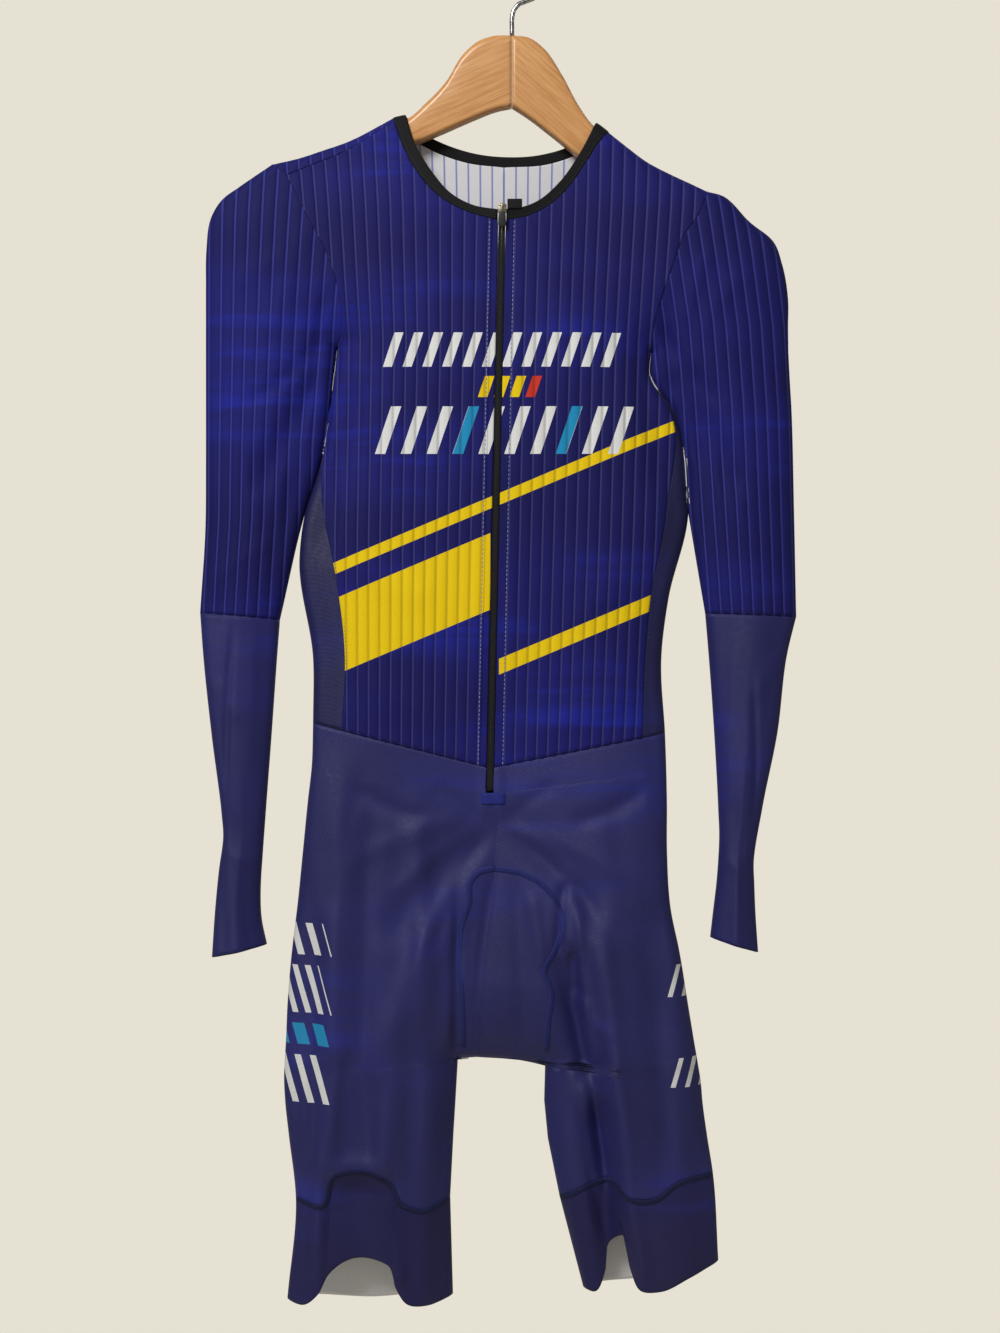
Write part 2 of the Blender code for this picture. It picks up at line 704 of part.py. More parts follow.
def back_half_rows(side):
    """Back: rows from the side to the centre back, over the fold to the front seam.

    Each row is (path, sheet), where sheet -1 is the part that shows on the front.
    """
    hole = ARMHOLE[side]
    back_neck = points(NECK_BACK)
    inner = back_neck[:4] if side == "right" else back_neck[:2:-1]
    centre_x = inner[3][0]
    seam, fold = points(SHOULDER_SEAM[side]), points(SHOULDER[side])[:0:-1]
    corner = Vector(fold[-1])
    rows = [(shifted(seam, SEAM_INSET), -1.0)]
    rows += [(between(fold, seam, share), -1.0) for share in (0.4, 0.12)]
    rows.append((fold, 1.0))
    for distance, hole_at, neck_at in ((1.3, 0.12, 0.1), (4.5, 0.4, 0.35), (10.0, 1.0, 1.0)):
        neck_end = tuple(corner.lerp(Vector(inner[0]), neck_at))
        rows.append((fold_row(side, distance, hole_at, neck_end), 1.0))
    rows.append(([along(hole, 1.35), inner[1]], 1.0))
    rows.append(([along(hole, 1.7), inner[2]], 1.0))
    rows.append(([along(hole, 2.0), inner[3]], 1.0))
    for hole_at, z in ((3.0, -206.0), (4.0, -236.0), (5.0, -266.0), (6.0, -289.0), (7.0, -307.0)):
        rows.append(([along(hole, hole_at), (centre_x, z)], 1.0))
    for k, z in enumerate(SIDE[side]["z"]):
        centre_z = (SIDE["right"]["z"][k] + SIDE["left"]["z"][k]) / 2.0
        rows.append(([(SIDE[side]["seam_x"][k], z), (centre_x, centre_z)], 1.0))
    seam_x = WAIST_SEAM_X[side]
    waist = [(seam_x, waist_back_z(seam_x)), (centre_x, waist_back_z(centre_x))]
    rows.append((shifted(waist, SEAM_INSET), 1.0))
    return rows


def back_panel():
    wall = Wall()
    for side, sign in (("right", -1.0), ("left", 1.0)):
        offsets = rib_offsets(BODY_RIBS)
        placed, sheets = [], []
        for index, (path, sheet) in enumerate(back_half_rows(side)):
            at_neck = index < NECK_ROWS
            path = inset(path, end=PIECE_GAP if at_neck else 0.0)
            middle_z = 0.5 * (path[0][1] + path[-1][1])
            pitch = at_z(RIB_PITCH, "pitch", middle_z)
            placed.append(row_points(path, -6.0 + sign * offsets * pitch))
            sheets.append(sheet)
        x, z = stack_rows(placed)
        side_grid = np.repeat(np.array(sheets)[:, None], x.shape[1], axis=1)
        crest = (offsets % 1.0 != 0.0)[None, :]
        wall.grid(x, z, side_grid, crest, 0.0, -WALL)
    return wall.make("back_panel", material("ribbed_cloth", (0.02, 0.02, 0.16), 0.62))


def side_panel(side):
    """Smooth panel round the body's side fold, from the underarm to the waist."""
    sign = -1.0 if side == "right" else 1.0
    seam, edge = SIDE[side]["seam_x"], SIDE[side]["edge_x"]
    heights = SIDE[side]["z"]
    rows = []
    shares = (0.0, 0.35, 0.75, 0.95)
    for k, z in enumerate(heights):
        rows.append((seam[k], z, edge[k], z, z))
    waist_x = WAIST_SEAM_X[side]
    side_x, side_z = WAIST_SIDE[side]
    rows.append((waist_x, waist_front_z(waist_x, side) + SEAM_INSET, side_x,
                 side_z + SEAM_INSET, waist_back_z(waist_x) + SEAM_INSET))
    x, z, sheet = [], [], []
    for seam_x, front_z, edge_x, edge_z, back_z in rows:
        start = seam_x + sign * SIDE_INSET
        share = np.array(shares)
        xs = start + share * (edge_x - start)
        x.append(np.concatenate([xs, [edge_x], xs[::-1]]))
        front = front_z + share * (edge_z - front_z)
        back = back_z + share * (edge_z - back_z)
        z.append(np.concatenate([front, [edge_z], back[::-1]]))
        sheet.append([-1.0] * len(shares) + [1.0] * (len(shares) + 1))
    wall = Wall()
    wall.grid(np.array(x), np.array(z), np.array(sheet), False, 0.0, -WALL)
    return wall.make(f"side_panel_{side}", material("smooth_cloth", (0.04, 0.035, 0.16), 0.5))


# ------------------------------------------------------------------ the sleeves
CAP_ROWS = (0.0, 0.12, 0.4, 1.0, 2.0, 3.0, 4.0, 5.0, 6.0, 7.0)   # rows of the armhole
FOLD_COLUMNS = np.array([0.0, 0.35, 1.6, 4.0])    # distances from the outer fold
SLEEVE_RIBS = 12
SLEEVE_RIB_PITCH = 8.8


def tube_sheets(shape):
    """Sheet of each point of a tube's rows: the front up to the outer fold."""
    sheet = np.ones(shape)
    sheet[:, :shape[1] // 2] = -1.0
    return sheet


def tube_grid(rows, shares):
    """Front and back sheets of a tube: rows of (inner, edge) points.

    Columns run from the inner end along the front to the outer fold, and back
    along the back sheet to the inner end.
    """
    x, z = [], []
    for inner, edge in rows:
        xs = inner[0] + shares * (edge[0] - inner[0])
        zs = inner[1] + shares * (edge[1] - inner[1])
        x.append(np.concatenate([xs, xs[-2::-1]]))
        z.append(np.concatenate([zs, zs[-2::-1]]))
    x, z = np.array(x), np.array(z)
    return x, z, tube_sheets(x.shape)


def upper_sleeve(side):
    """Ribbed sleeve: open along the armhole, closed below the underarm."""
    sign = -1.0 if side == "right" else 1.0
    hole, tube = ARMHOLE[side], UPPER_SLEEVE[side]
    rows = []
    for at in CAP_ROWS:
        (seam_x, seam_z), edge = along(hole, at), along(hole, at, "edge_x", "edge_z")
        start = (seam_x + sign * SEAM_INSET, seam_z)
        rows.append((start, (start[0], edge[1]) if at == 0.0 else edge))
    for k in range(len(tube["x"])):
        rows.append(((tube["x"][k], tube["z"][k]), (tube["edge_x"][k], tube["edge_z"][k])))
    (x0, z0), (x1, z1) = rows[-1]
    rows[-1] = ((x0, z0 + SEAM_INSET), (x1, z1 + SEAM_INSET))
    ribs = rib_offsets(SLEEVE_RIBS)[:-1]
    from_edge = np.concatenate([FOLD_COLUMNS, EDGE_RADIUS + ribs * SLEEVE_RIB_PITCH])
    crest = np.concatenate([np.zeros(len(FOLD_COLUMNS), bool), ribs % 1.0 != 0.0, [False]])[::-1]
    x, z = [], []
    for inner, edge in rows:
        width = math.dist(inner, edge)
        share = np.append(np.clip(from_edge / max(width, 1e-9), 0.0, 1.0), 1.0)[::-1]
        xs = edge[0] + share * (inner[0] - edge[0])
        zs = edge[1] + share * (inner[1] - edge[1])
        x.append(np.concatenate([xs, xs[-2::-1]]))
        z.append(np.concatenate([zs, zs[-2::-1]]))
    crest = np.concatenate([crest, crest[-2::-1]])[None, :]
    x, z = np.array(x), np.array(z)
    wall = Wall()
    wall.grid(x, z, tube_sheets(x.shape), crest, 0.0, -WALL)
    return wall.make(f"sleeve_upper_{side}", material("ribbed_cloth", (0.02, 0.02, 0.16), 0.62))


def lower_sleeve(side):
    tube = LOWER_SLEEVE[side]
    rows = [((tube["x"][k], tube["z"][k]), (tube["edge_x"][k], tube["edge_z"][k]))
            for k in range(len(tube["x"]))]
    (x0, z0), (x1, z1) = rows[0]
    rows[0] = ((x0, z0 - SEAM_INSET), (x1, z1 - SEAM_INSET))
    wall = Wall()
    x, z, sheet = tube_grid(rows, edge_fractions(5))
    wall.grid(x, z, sheet, False, 0.0, -WALL)
    return wall.make(f"sleeve_lower_{side}", material("smooth_cloth", (0.04, 0.035, 0.16), 0.5))


# ------------------------------------------------------------------- the shorts
LEG_SHARES = edge_fractions(8)


def leg_row(front_path, back_path):
    """One row round a leg, front and back, from the inner end and back to it."""
    row_x, row_z = [], []
    for path, reverse in ((front_path, False), (back_path, True)):
        start, end = path[0][0], path[-1][0]
        xs, zs = row_points(path, start + LEG_SHARES * (end - start))
        xs, zs = (xs[::-1][1:], zs[::-1][1:]) if reverse else (xs, zs)
        row_x.append(xs)
        row_z.append(zs)
    return np.concatenate(row_x), np.concatenate(row_z)


def shorts_grid(side):
    """Front-view points of a leg's panel, centre front round its fold to centre back."""
    sign = -1.0 if side == "right" else 1.0
    leg, band = LEG_PANEL[side], BAND[side]
    x, z = [], []
    for k in range(len(leg["edge_x"])):
        edge = (leg["edge_x"][k], leg["edge_z"][k])
        front = (leg["front_x"][k], leg["front_z"][k])
        back = (leg["back_x"][k], leg["back_z"][k])
        if k <= CROTCH_ROW:
            beside_zip = ZIP_HALF if k < ZIP_ROWS else 0.0
            front = (front[0] + sign * (beside_zip + SEAM_INSET), front[1])
            back = (back[0] + sign * SEAM_INSET, back[1])
        drop = SEAM_INSET if k == 0 else 0.0
        row = leg_row(shifted([front, edge], -drop), shifted([back, edge], -drop))
        x.append(row[0])
        z.append(row[1])
    seam = leg_row(points(band["seam_front"]), points(band["seam_back"]))
    last_x, last_z = x[-1], z[-1]
    x += [(last_x + seam[0]) / 2.0, seam[0]]
    z += [(last_z + seam[1]) / 2.0, seam[1] + SEAM_INSET]
    return np.array(x), np.array(z), tube_sheets(np.shape(x))


def shorts(side):
    wall = Wall()
    wall.grid(*shorts_grid(side), False, 0.0, -WALL)
    return wall.make(f"shorts_{side}", material("smooth_cloth", (0.04, 0.035, 0.16), 0.5))


def leg_band(side):
    """Grip band round the leg's hem."""
    band = BAND[side]
    seam = leg_row(points(band["seam_front"]), points(band["seam_back"]))
    hem = leg_row(points(band["hem_front"]), points(band["hem_back"]))
    shares = np.array(BAND_SHARES)[:, None]
    x = seam[0] + shares * (hem[0] - seam[0])
    z = seam[1] + shares * (hem[1] - seam[1])
    z[0] -= SEAM_INSET
    wall = Wall()
    wall.grid(x, z, tube_sheets(x.shape), False, 0.0, -WALL)
    return wall.make(f"leg_band_{side}", material("smooth_cloth", (0.04, 0.035, 0.16), 0.5))


def pad_half(side, row, reach):
    """Points behind one leg panel's front, from the centre front to the pad's end."""
    inner = cloth(*shorts_grid(side), -WALL)
    k = int(row)
    columns = inner[k] + (row - k) * (inner[k + 1] - inner[k])
    across = columns[:, 0] / MM
    sign = -1.0 if side == "right" else 1.0
    held = np.minimum(sign * across[:PAD_COLUMNS + 1], sign * reach)
    order = sign * across[:PAD_COLUMNS + 2]
    return np.stack([np.interp(held, order, columns[:PAD_COLUMNS + 2, axis])
                     for axis in range(3)], axis=1)


def seat_pad():
    """The pad inside the shorts, made from the points of the panels it lies behind."""
    rows = []
    for row, right, left in zip(PAD["row"], PAD["right"], PAD["left"]):
        rows.append(np.concatenate([pad_half("right", row, right)[::-1],
                                    pad_half("left", row, left)]))
    face = np.array(rows) + np.array([0.0, PAD_GAP * MM, 0.0])
    behind = face + np.array([0.0, PAD_THICKNESS * MM, 0.0])
    wall = Wall()
    wall.quads(face, behind, np.zeros(face.shape[:2], bool))
    return wall.make("chamois_pad", material("pad", (0.05, 0.05, 0.2), 0.8))


# ---------------------------------------------------------- binding and the zip
def neck_binding():
    """Binding that grips the neck's edge, from the zip round the neck to the zip."""
    def place(columns, at, sheet):
        return [*along(columns, at, "inner_x", "inner_z"), *along(columns, at), sheet]

    names = ("inner_x", "inner_z", "x", "z")
    corners = {side: {name: NECK_FRONT[side][name][-1] for name in names} for side in NECK_FRONT}
    back = {name: np.concatenate([[corners["right"][name]], NECK_BACK[name],
                                  [corners["left"][name]]]) for name in names}
    last = len(back["x"]) - 1
    front_at = (0.0, 1.0, 2.0, 3.0, 4.0, 5.0, 5.55, 5.8, 5.94, 6.0)
    back_at = (0.1, 0.35, 0.65, *range(1, last), last - 0.65, last - 0.35, last - 0.1)
    path = [place(NECK_FRONT["right"], at, -1.0) for at in front_at]
    path += [place(back, at, 1.0) for at in back_at]
    path += [place(NECK_FRONT["left"], at, -1.0) for at in reversed(front_at)]
    path = np.array(path)
    shares = np.array([0.0, 0.5, 1.0])
    x = path[:, [0]] + shares * (path[:, [2]] - path[:, [0]])
    z = path[:, [1]] + shares * (path[:, [3]] - path[:, [1]])
    sheet = np.repeat(path[:, [4]], 3, axis=1)
    wall = Wall()
    wall.grid(x, z, sheet, False, BINDING_PROUD, -WALL)
    return wall.make("neck_binding", material("binding", (0.01, 0.01, 0.012), 0.75))


def zip_strip():
    """The closed zip between the fronts, from the neck past the waist seam."""
    heights = np.linspace(*ZIP_ENDS, 24)
    half = ZIP_HALF - 2 * SEAM_INSET
    shares = np.array([-1.0, 0.0, 1.0])
    x = zip_x(heights)[:, None] + shares[None, :] * half
    z = np.repeat(heights[:, None], 3, axis=1)
    wall = Wall()
    wall.grid(x, z, np.full(x.shape, -1.0), False, ZIP_PROUD, -WALL)
    return wall.make("zip_strip", material("zip_tape", (0.01, 0.01, 0.012), 0.6))


def lying_patch(name, x_range, z_range, lift, thickness, finish_material):
    """A small flat piece made from the points of the cloth it lies on."""
    x, z = np.meshgrid(np.linspace(*x_range, 4), np.linspace(*z_range, 3))
    wall = Wall()
    wall.grid(x, z, np.full(x.shape, -1.0), False, lift + thickness, lift)
    return wall.make(name, finish_material)


def box_solid(name, low, high, bevel, finish_material):
    """A box between two corners in millimetres, with its edges rounded."""
    maker = bmesh.new()
    bmesh.ops.create_cube(maker, size=1.0)
    size = Vector(high) - Vector(low)
    middle = (Vector(high) + Vector(low)) / 2.0
    for vert in maker.verts:
        vert.co = Vector([vert.co[k] * size[k] + middle[k] for k in range(3)]) * MM
    bmesh.ops.bevel(maker, geom=maker.edges[:], offset=bevel * MM, segments=2,
                    profile=0.5, affect="EDGES", clamp_overlap=True)
    return finish(name, maker, finish_material)


def zip_head():
    """Slider, and the pull tab that hangs in front of its lower end."""
    slider_bottom = SLIDER_BOTTOM
    middle_x = float(zip_x(slider_bottom))
    middle_z = np.array(slider_bottom + SLIDER_HEIGHT / 2)
    front = float(cloth(np.array(middle_x), middle_z, np.array(-1.0), ZIP_PROUD)[1]) / MM
    back_face = front - PIECE_GAP
    low = (middle_x - SLIDER_WIDTH / 2, back_face - SLIDER_DEPTH, slider_bottom)
    high = (middle_x + SLIDER_WIDTH / 2, back_face, slider_bottom + SLIDER_HEIGHT)
    metal = material("zip_metal", (0.55, 0.5, 0.44), 0.35, 1.0)
    box_solid("zip_slider", low, high, 0.5, metal)
    hinge_y = back_face - SLIDER_DEPTH - PIECE_GAP - TAB_THICKNESS / 2
    hinge_z = slider_bottom + TAB_HINGE_UP
    tab_low = (middle_x - TAB_WIDTH / 2, -TAB_THICKNESS / 2, -TAB_LENGTH)
    tab_high = (middle_x + TAB_WIDTH / 2, TAB_THICKNESS / 2, TAB_THICKNESS / 2)
    tab = box_solid("zip_pull_tab", tab_low, tab_high, 0.6, material("rubber", (0.02, 0.02, 0.03), 0.7))
    tab.location = (0.0, hinge_y * MM, hinge_z * MM)


# ------------------------------------------------------------------- the hanger
def loft(name, sections, finish_material):
    """Closed solid through rings of points, its two ends capped."""
    maker = bmesh.new()
    rings = [[maker.verts.new(Vector(point) * MM) for point in ring] for ring in sections]
    for ring, following in zip(rings, rings[1:]):
        for k in range(len(ring)):
            after = (k + 1) % len(ring)
            maker.faces.new((ring[k], ring[after], following[after], following[k]))
    maker.faces.new(rings[0][::-1])
    maker.faces.new(rings[-1])
    return finish(name, maker, finish_material)


def wood_section(top, lower, thinning=1.0):
    """Ring across the wooden arm: round on top, flat sides, softened below."""
    top, lower = Vector(top), Vector(lower)
    down = (lower - top).normalized()
    height = (lower - top).length
    half = WOOD_HALF * thinning
    shape = []
    for angle in (12, 35, 60, 90):
        turn = math.radians(angle)
        shape.append((WOOD_TOP_ROUND * (1 - math.cos(turn)), half * math.sin(turn)))
    shape.append((height - WOOD_LOWER_ROUND, half))
    shape.append((height, half - WOOD_LOWER_ROUND))
    ring = [(depth, -y) for depth, y in shape] + [(depth, y) for depth, y in reversed(shape)]
    placed = []
    for depth, y in ring:
        place = top + down * depth
        placed.append((place.x, y, place.y))
    return placed


def wood_arm(side):
    """One arm of the hanger, from the mitre to the tip inside the sleeve's cap."""
    sign = -1.0 if side == "right" else 1.0
    neck = WOOD_NECK[side]
    sections = []
    for k, x in enumerate(neck["x"]):
        place = x + (sign * MITRE_HALF_GAP if k == 0 else 0.0)
        sections.append(wood_section((place, neck["top"][k]), (place, neck["lower"][k])))
    fold = points(SHOULDER[side])[1:] + points(ARMHOLE[side], "edge_x", "edge_z")[1:4]
    for k, (x, z) in enumerate(fold):
        dir_x, dir_z = inward(np.array(x), np.array(z), 3.0)
        dir_x, dir_z = float(dir_x), float(dir_z)
        in_by = WALL + WOOD_CLEARANCE + WOOD_SINK[min(k, 1)]
        top = (x + dir_x * in_by, z + dir_z * in_by)
        height = float(np.interp(k, WOOD_HEIGHT["at"], WOOD_HEIGHT["height"]))
        lower = (top[0] + dir_x * height, top[1] + dir_z * height)
        at_tip = k >= len(points(SHOULDER[side])) - 1
        sections.append(wood_section(top, lower, WOOD_TIP_THINNING if at_tip else 1.0))
    return loft(f"hanger_arm_{side}", sections, material("wood", (0.62, 0.34, 0.13), 0.45))


def hook():
    """Steel hook: a straight stem, a lean to the side and a round crook."""
    centre_z = HOOK_WIRE_RADIUS - HOOK_RADIUS
    route = [(0.0, WOOD_PEAK + PIECE_GAP), (0.0, -58.0), (0.1, -52.0), (1.4, -46.5), (5.2, -41.6)]
    for angle in range(-45, 206, 14):
        turn = math.radians(angle)
        route.append((HOOK_RADIUS * math.cos(turn), centre_z + HOOK_RADIUS * math.sin(turn)))
    curve = bpy.data.curves.new("hanger_hook", "CURVE")
    curve.dimensions = "3D"
    curve.bevel_depth = HOOK_WIRE_RADIUS * MM
    curve.bevel_resolution = 2
    curve.use_fill_caps = True
    spline = curve.splines.new("POLY")
    spline.points.add(len(route) - 1)
    for point, (x, z) in zip(spline.points, route):
        point.co = (x * MM, 0.0, z * MM, 1.0)
    made = bpy.data.objects.new("hanger_hook", curve)
    bpy.context.scene.collection.objects.link(made)
    curve.materials.append(material("steel", (0.6, 0.6, 0.6), 0.3, 1.0))
    return made


def build():
    for old in list(bpy.data.objects):
        bpy.data.objects.remove(old, do_unlink=True)
    for side in ("right", "left"):
        wood_arm(side)
        front_panel(side)
        side_panel(side)
        upper_sleeve(side)
        lower_sleeve(side)
        shorts(side)
        leg_band(side)
    hook()
    back_panel()
    neck_binding()
    zip_strip()
    zip_head()
    seat_pad()
    lying_patch("zip_garage", (-3.6, 7.6), (-202.0, -194.0), 0.8, 1.2,
                material("binding", (0.01, 0.01, 0.012), 0.75))
    lying_patch("zip_end_patch", (-23.6, -5.4), (-653.2, -644.6), 0.3, 1.0,
                material("patch", (0.03, 0.04, 0.3), 0.6))


build()
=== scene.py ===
# %% [markdown]
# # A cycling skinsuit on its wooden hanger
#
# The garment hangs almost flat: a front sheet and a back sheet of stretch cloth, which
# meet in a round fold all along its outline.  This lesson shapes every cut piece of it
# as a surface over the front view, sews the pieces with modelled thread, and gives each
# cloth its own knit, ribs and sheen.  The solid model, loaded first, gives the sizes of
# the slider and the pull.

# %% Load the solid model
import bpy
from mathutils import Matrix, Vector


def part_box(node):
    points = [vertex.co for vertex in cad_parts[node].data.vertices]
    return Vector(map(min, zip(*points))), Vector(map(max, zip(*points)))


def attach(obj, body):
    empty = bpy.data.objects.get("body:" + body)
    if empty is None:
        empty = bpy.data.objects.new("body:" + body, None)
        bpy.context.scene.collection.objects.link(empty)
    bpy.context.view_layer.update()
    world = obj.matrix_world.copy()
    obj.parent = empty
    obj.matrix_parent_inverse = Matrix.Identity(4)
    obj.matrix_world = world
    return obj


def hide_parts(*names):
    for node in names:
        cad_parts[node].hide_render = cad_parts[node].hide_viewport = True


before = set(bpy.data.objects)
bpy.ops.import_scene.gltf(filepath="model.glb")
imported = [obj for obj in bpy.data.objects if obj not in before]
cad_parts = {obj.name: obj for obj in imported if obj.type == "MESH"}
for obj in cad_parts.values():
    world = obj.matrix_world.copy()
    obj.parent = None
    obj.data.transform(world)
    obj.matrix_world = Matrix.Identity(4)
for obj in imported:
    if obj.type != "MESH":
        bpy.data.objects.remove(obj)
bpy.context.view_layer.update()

import math

import bmesh
import bpy
import numpy as np
from mathutils import Vector

MM = 0.001

# %% [markdown]
# ## The pattern
#
# A pattern maker notes where each seam and edge runs.  The same is done here, in
# millimetres: x runs to the viewer's right from the hook's stem, z up from the hook's
# inner top.  Right and left are the wearer's.  Only the points that a seam needs are
# listed, and a smooth curve is drawn through them.

# %% Named tables and smooth curves
def table(*rows):
    return np.array(rows, dtype=float)


def curve(rows, at):
    """Smooth curve through rows: between two rows a cubic that leaves each one along the
    parabola through it and its neighbours.  at counts rows, with fractions."""
    step = np.maximum(np.linalg.norm(np.diff(rows, axis=0), axis=1), 1e-6)[:, None]
    slope = np.diff(rows, axis=0) / step
    inner = (slope[:-1] * step[1:] + slope[1:] * step[:-1]) / (step[:-1] + step[1:])
    tangent = np.concatenate([slope[:1], inner, slope[-1:]])
    at = np.clip(np.asarray(at, float), 0.0, len(rows) - 1.0)
    k = np.minimum(at.astype(int), len(rows) - 2)
    t, h = (at - k)[..., None], step[k]
    near = (2 * t**3 - 3 * t**2 + 1) * rows[k] + (t**3 - 2 * t**2 + t) * h * tangent[k]
    return near + (3 * t**2 - 2 * t**3) * rows[k + 1] + (t**3 - t**2) * h * tangent[k + 1]


def dense(rows, spacing=3.0):
    """Row numbers spread evenly along a curve, with every row kept."""
    parts = []
    for k, length in enumerate(np.linalg.norm(np.diff(rows[:, :2], axis=0), axis=1)):
        parts.append(np.linspace(k, k + 1, max(2, int(length / spacing)) + 1)[:-1])
    return np.concatenate(parts + [[len(rows) - 1.0]])


SIDES = (("right", -1.0), ("left", 1.0))

# %% The top fold, the front shoulder seam and the armholes
SHOULDER = {
    "right": table((-91.2, -129.5), (-99.3, -134.0), (-126.2, -147.7), (-145.0, -154.2),
                   (-162.6, -160.0), (-183.7, -164.9)),
    "left": table((74.3, -140.6), (88.4, -151.8), (102.5, -162.4), (121.3, -172.4),
                  (137.7, -180.0), (149.4, -185.6)),
}
SHOULDER_SEAM = {
    "right": table((-172.0, -175.3), (-149.7, -165.9), (-132.1, -158.9), (-116.9, -150.4),
                   (-107.5, -144.4), (-90.1, -133.0)),
    "left": table((147.6, -191.5), (137.0, -183.6), (120.6, -175.6), (101.7, -165.6),
                  (87.4, -155.0), (73.0, -143.1)),
}
# Columns: seam x, seam z, then the sleeve's outer edge x, z.
ARMHOLE = {
    "right": table((-183.7, -164.9, -183.7, -164.9), (-172.0, -175.3, -208.4, -181.7),
                   (-160.1, -198.4, -223.5, -193.5), (-150.1, -217.5, -231.6, -209.0),
                   (-141.7, -233.6, -234.0, -230.0), (-132.0, -263.0, -234.4, -259.0),
                   (-128.7, -287.0, -234.4, -284.0), (-134.1, -306.4, -234.4, -306.0)),
    "left": table((149.4, -185.6, 149.4, -185.6), (147.6, -191.5, 160.0, -188.2),
                  (140.0, -208.1, 182.3, -209.1), (130.6, -221.1, 199.9, -223.4),
                  (123.6, -239.8, 206.8, -241.0), (114.5, -267.0, 211.4, -268.0),
                  (107.7, -291.0, 211.4, -290.0), (106.5, -308.7, 211.6, -308.0)),
}
print("shoulder width", SHOULDER["left"][-1, 0] - SHOULDER["right"][-1, 0], "mm")

# %% Sleeves: inner edge x, z, then outer edge x, z
UPPER_SLEEVE = {
    "right": table((-134.1, -306.4, -234.4, -306.0), (-136.0, -324.0, -234.4, -325.0),
                   (-147.4, -396.8, -234.4, -398.0), (-158.6, -432.0, -234.6, -436.0),
                   (-177.7, -513.2, -238.8, -507.9)),
    "left": table((106.5, -308.7, 211.6, -308.0), (106.0, -327.0, 212.6, -328.0),
                  (121.9, -351.4, 213.9, -350.0), (135.0, -432.0, 216.0, -432.0),
                  (147.9, -508.6, 217.6, -510.9)),
}
LOWER_SLEEVE = {
    "right": table((-177.7, -513.2, -238.8, -507.9), (-179.6, -538.0, -236.9, -535.0),
                   (-184.0, -600.0, -230.2, -600.0), (-188.8, -664.0, -222.4, -662.0),
                   (-190.7, -690.0, -221.2, -679.5), (-192.4, -718.0, -224.6, -706.0),
                   (-191.8, -741.0, -227.6, -738.0), (-187.7, -761.4, -229.8, -771.4)),
    "left": table((147.9, -508.6, 217.6, -510.9), (150.4, -538.0, 211.0, -538.0),
                  (154.8, -600.0, 203.2, -600.0), (157.9, -658.0, 191.6, -658.0),
                  (158.6, -684.0, 185.3, -696.0), (156.8, -712.0, 185.6, -716.0),
                  (154.0, -736.0, 186.6, -740.0), (151.7, -756.0, 188.5, -767.5)),
}

# %% The body's side: fold x, seam x, z, from the underarm to the waist
SIDE = {
    "right": table((-136.0, -135.4, -324.0), (-147.4, -145.8, -396.8), (-158.6, -143.8, -432.0),
                   (-162.8, -136.6, -466.0), (-152.3, -126.9, -544.0)),
    "left": table((106.0, 105.4, -327.0), (121.9, 120.1, -351.4), (135.0, 117.0, -432.0),
                  (119.7, 105.2, -497.9), (114.4, 101.0, -542.0)),
}
WAIST_SIDE = {"right": (-152.4, -592.1), "left": (117.2, -599.8)}
WAIST_SEAM_X = {"right": -129.5, "left": 98.8}
WAIST_FRONT = (-16.5, -625.6)
ZIP_TOP, ZIP_END = (-7.4, -199.0), (-16.9, -644.0)

# %% Legs: centre front x, z, outer fold x, z, centre back x, z
CROTCH_ROW = 8
LEG_PANEL = {
    "right": table((-16.5, -625.6, -152.4, -592.1, -6.0, -596.3),
                   (-16.9, -644.0, -153.4, -625.0, -6.0, -628.0),
                   (-13.0, -656.0, -156.3, -651.0, -6.5, -656.0),
                   (-13.0, -691.0, -160.1, -689.4, -7.0, -691.0),
                   (-16.1, -730.0, -163.9, -727.7, -8.0, -730.0),
                   (-20.5, -768.0, -169.3, -773.7, -9.0, -768.0),
                   (-23.7, -806.0, -172.0, -808.0, -12.0, -806.0),
                   (-26.0, -835.0, -173.2, -836.0, -24.0, -836.0),
                   (-27.0, -848.0, -174.0, -849.0, -27.0, -848.0),
                   (-41.4, -848.6, -174.6, -862.0, -41.4, -848.6),
                   (-43.2, -880.0, -173.7, -882.0, -43.2, -880.0),
                   (-44.8, -906.0, -171.0, -907.0, -44.8, -906.0)),
    "left": table((-16.5, -625.6, 117.2, -599.8, -6.0, -596.3),
                  (-16.9, -644.0, 118.1, -625.0, -6.0, -628.0),
                  (-13.0, -656.0, 118.7, -652.0, -6.5, -656.0),
                  (-13.0, -691.0, 118.8, -692.0, -7.0, -691.0),
                  (-16.1, -730.0, 121.5, -734.0, -8.0, -730.0),
                  (-20.5, -768.0, 128.2, -767.0, -9.0, -768.0),
                  (-23.7, -806.0, 135.2, -810.0, -12.0, -806.0),
                  (-26.0, -835.0, 139.8, -838.0, -24.0, -836.0),
                  (-27.0, -848.0, 142.2, -852.0, -27.0, -848.0),
                  (2.3, -849.6, 143.2, -858.0, 2.3, -849.6),
                  (25.3, -854.1, 144.2, -864.0, 25.3, -854.1),
                  (24.6, -881.0, 146.1, -884.0, 24.6, -881.0),
                  (27.4, -910.0, 149.4, -908.0, 27.4, -910.0)),
}

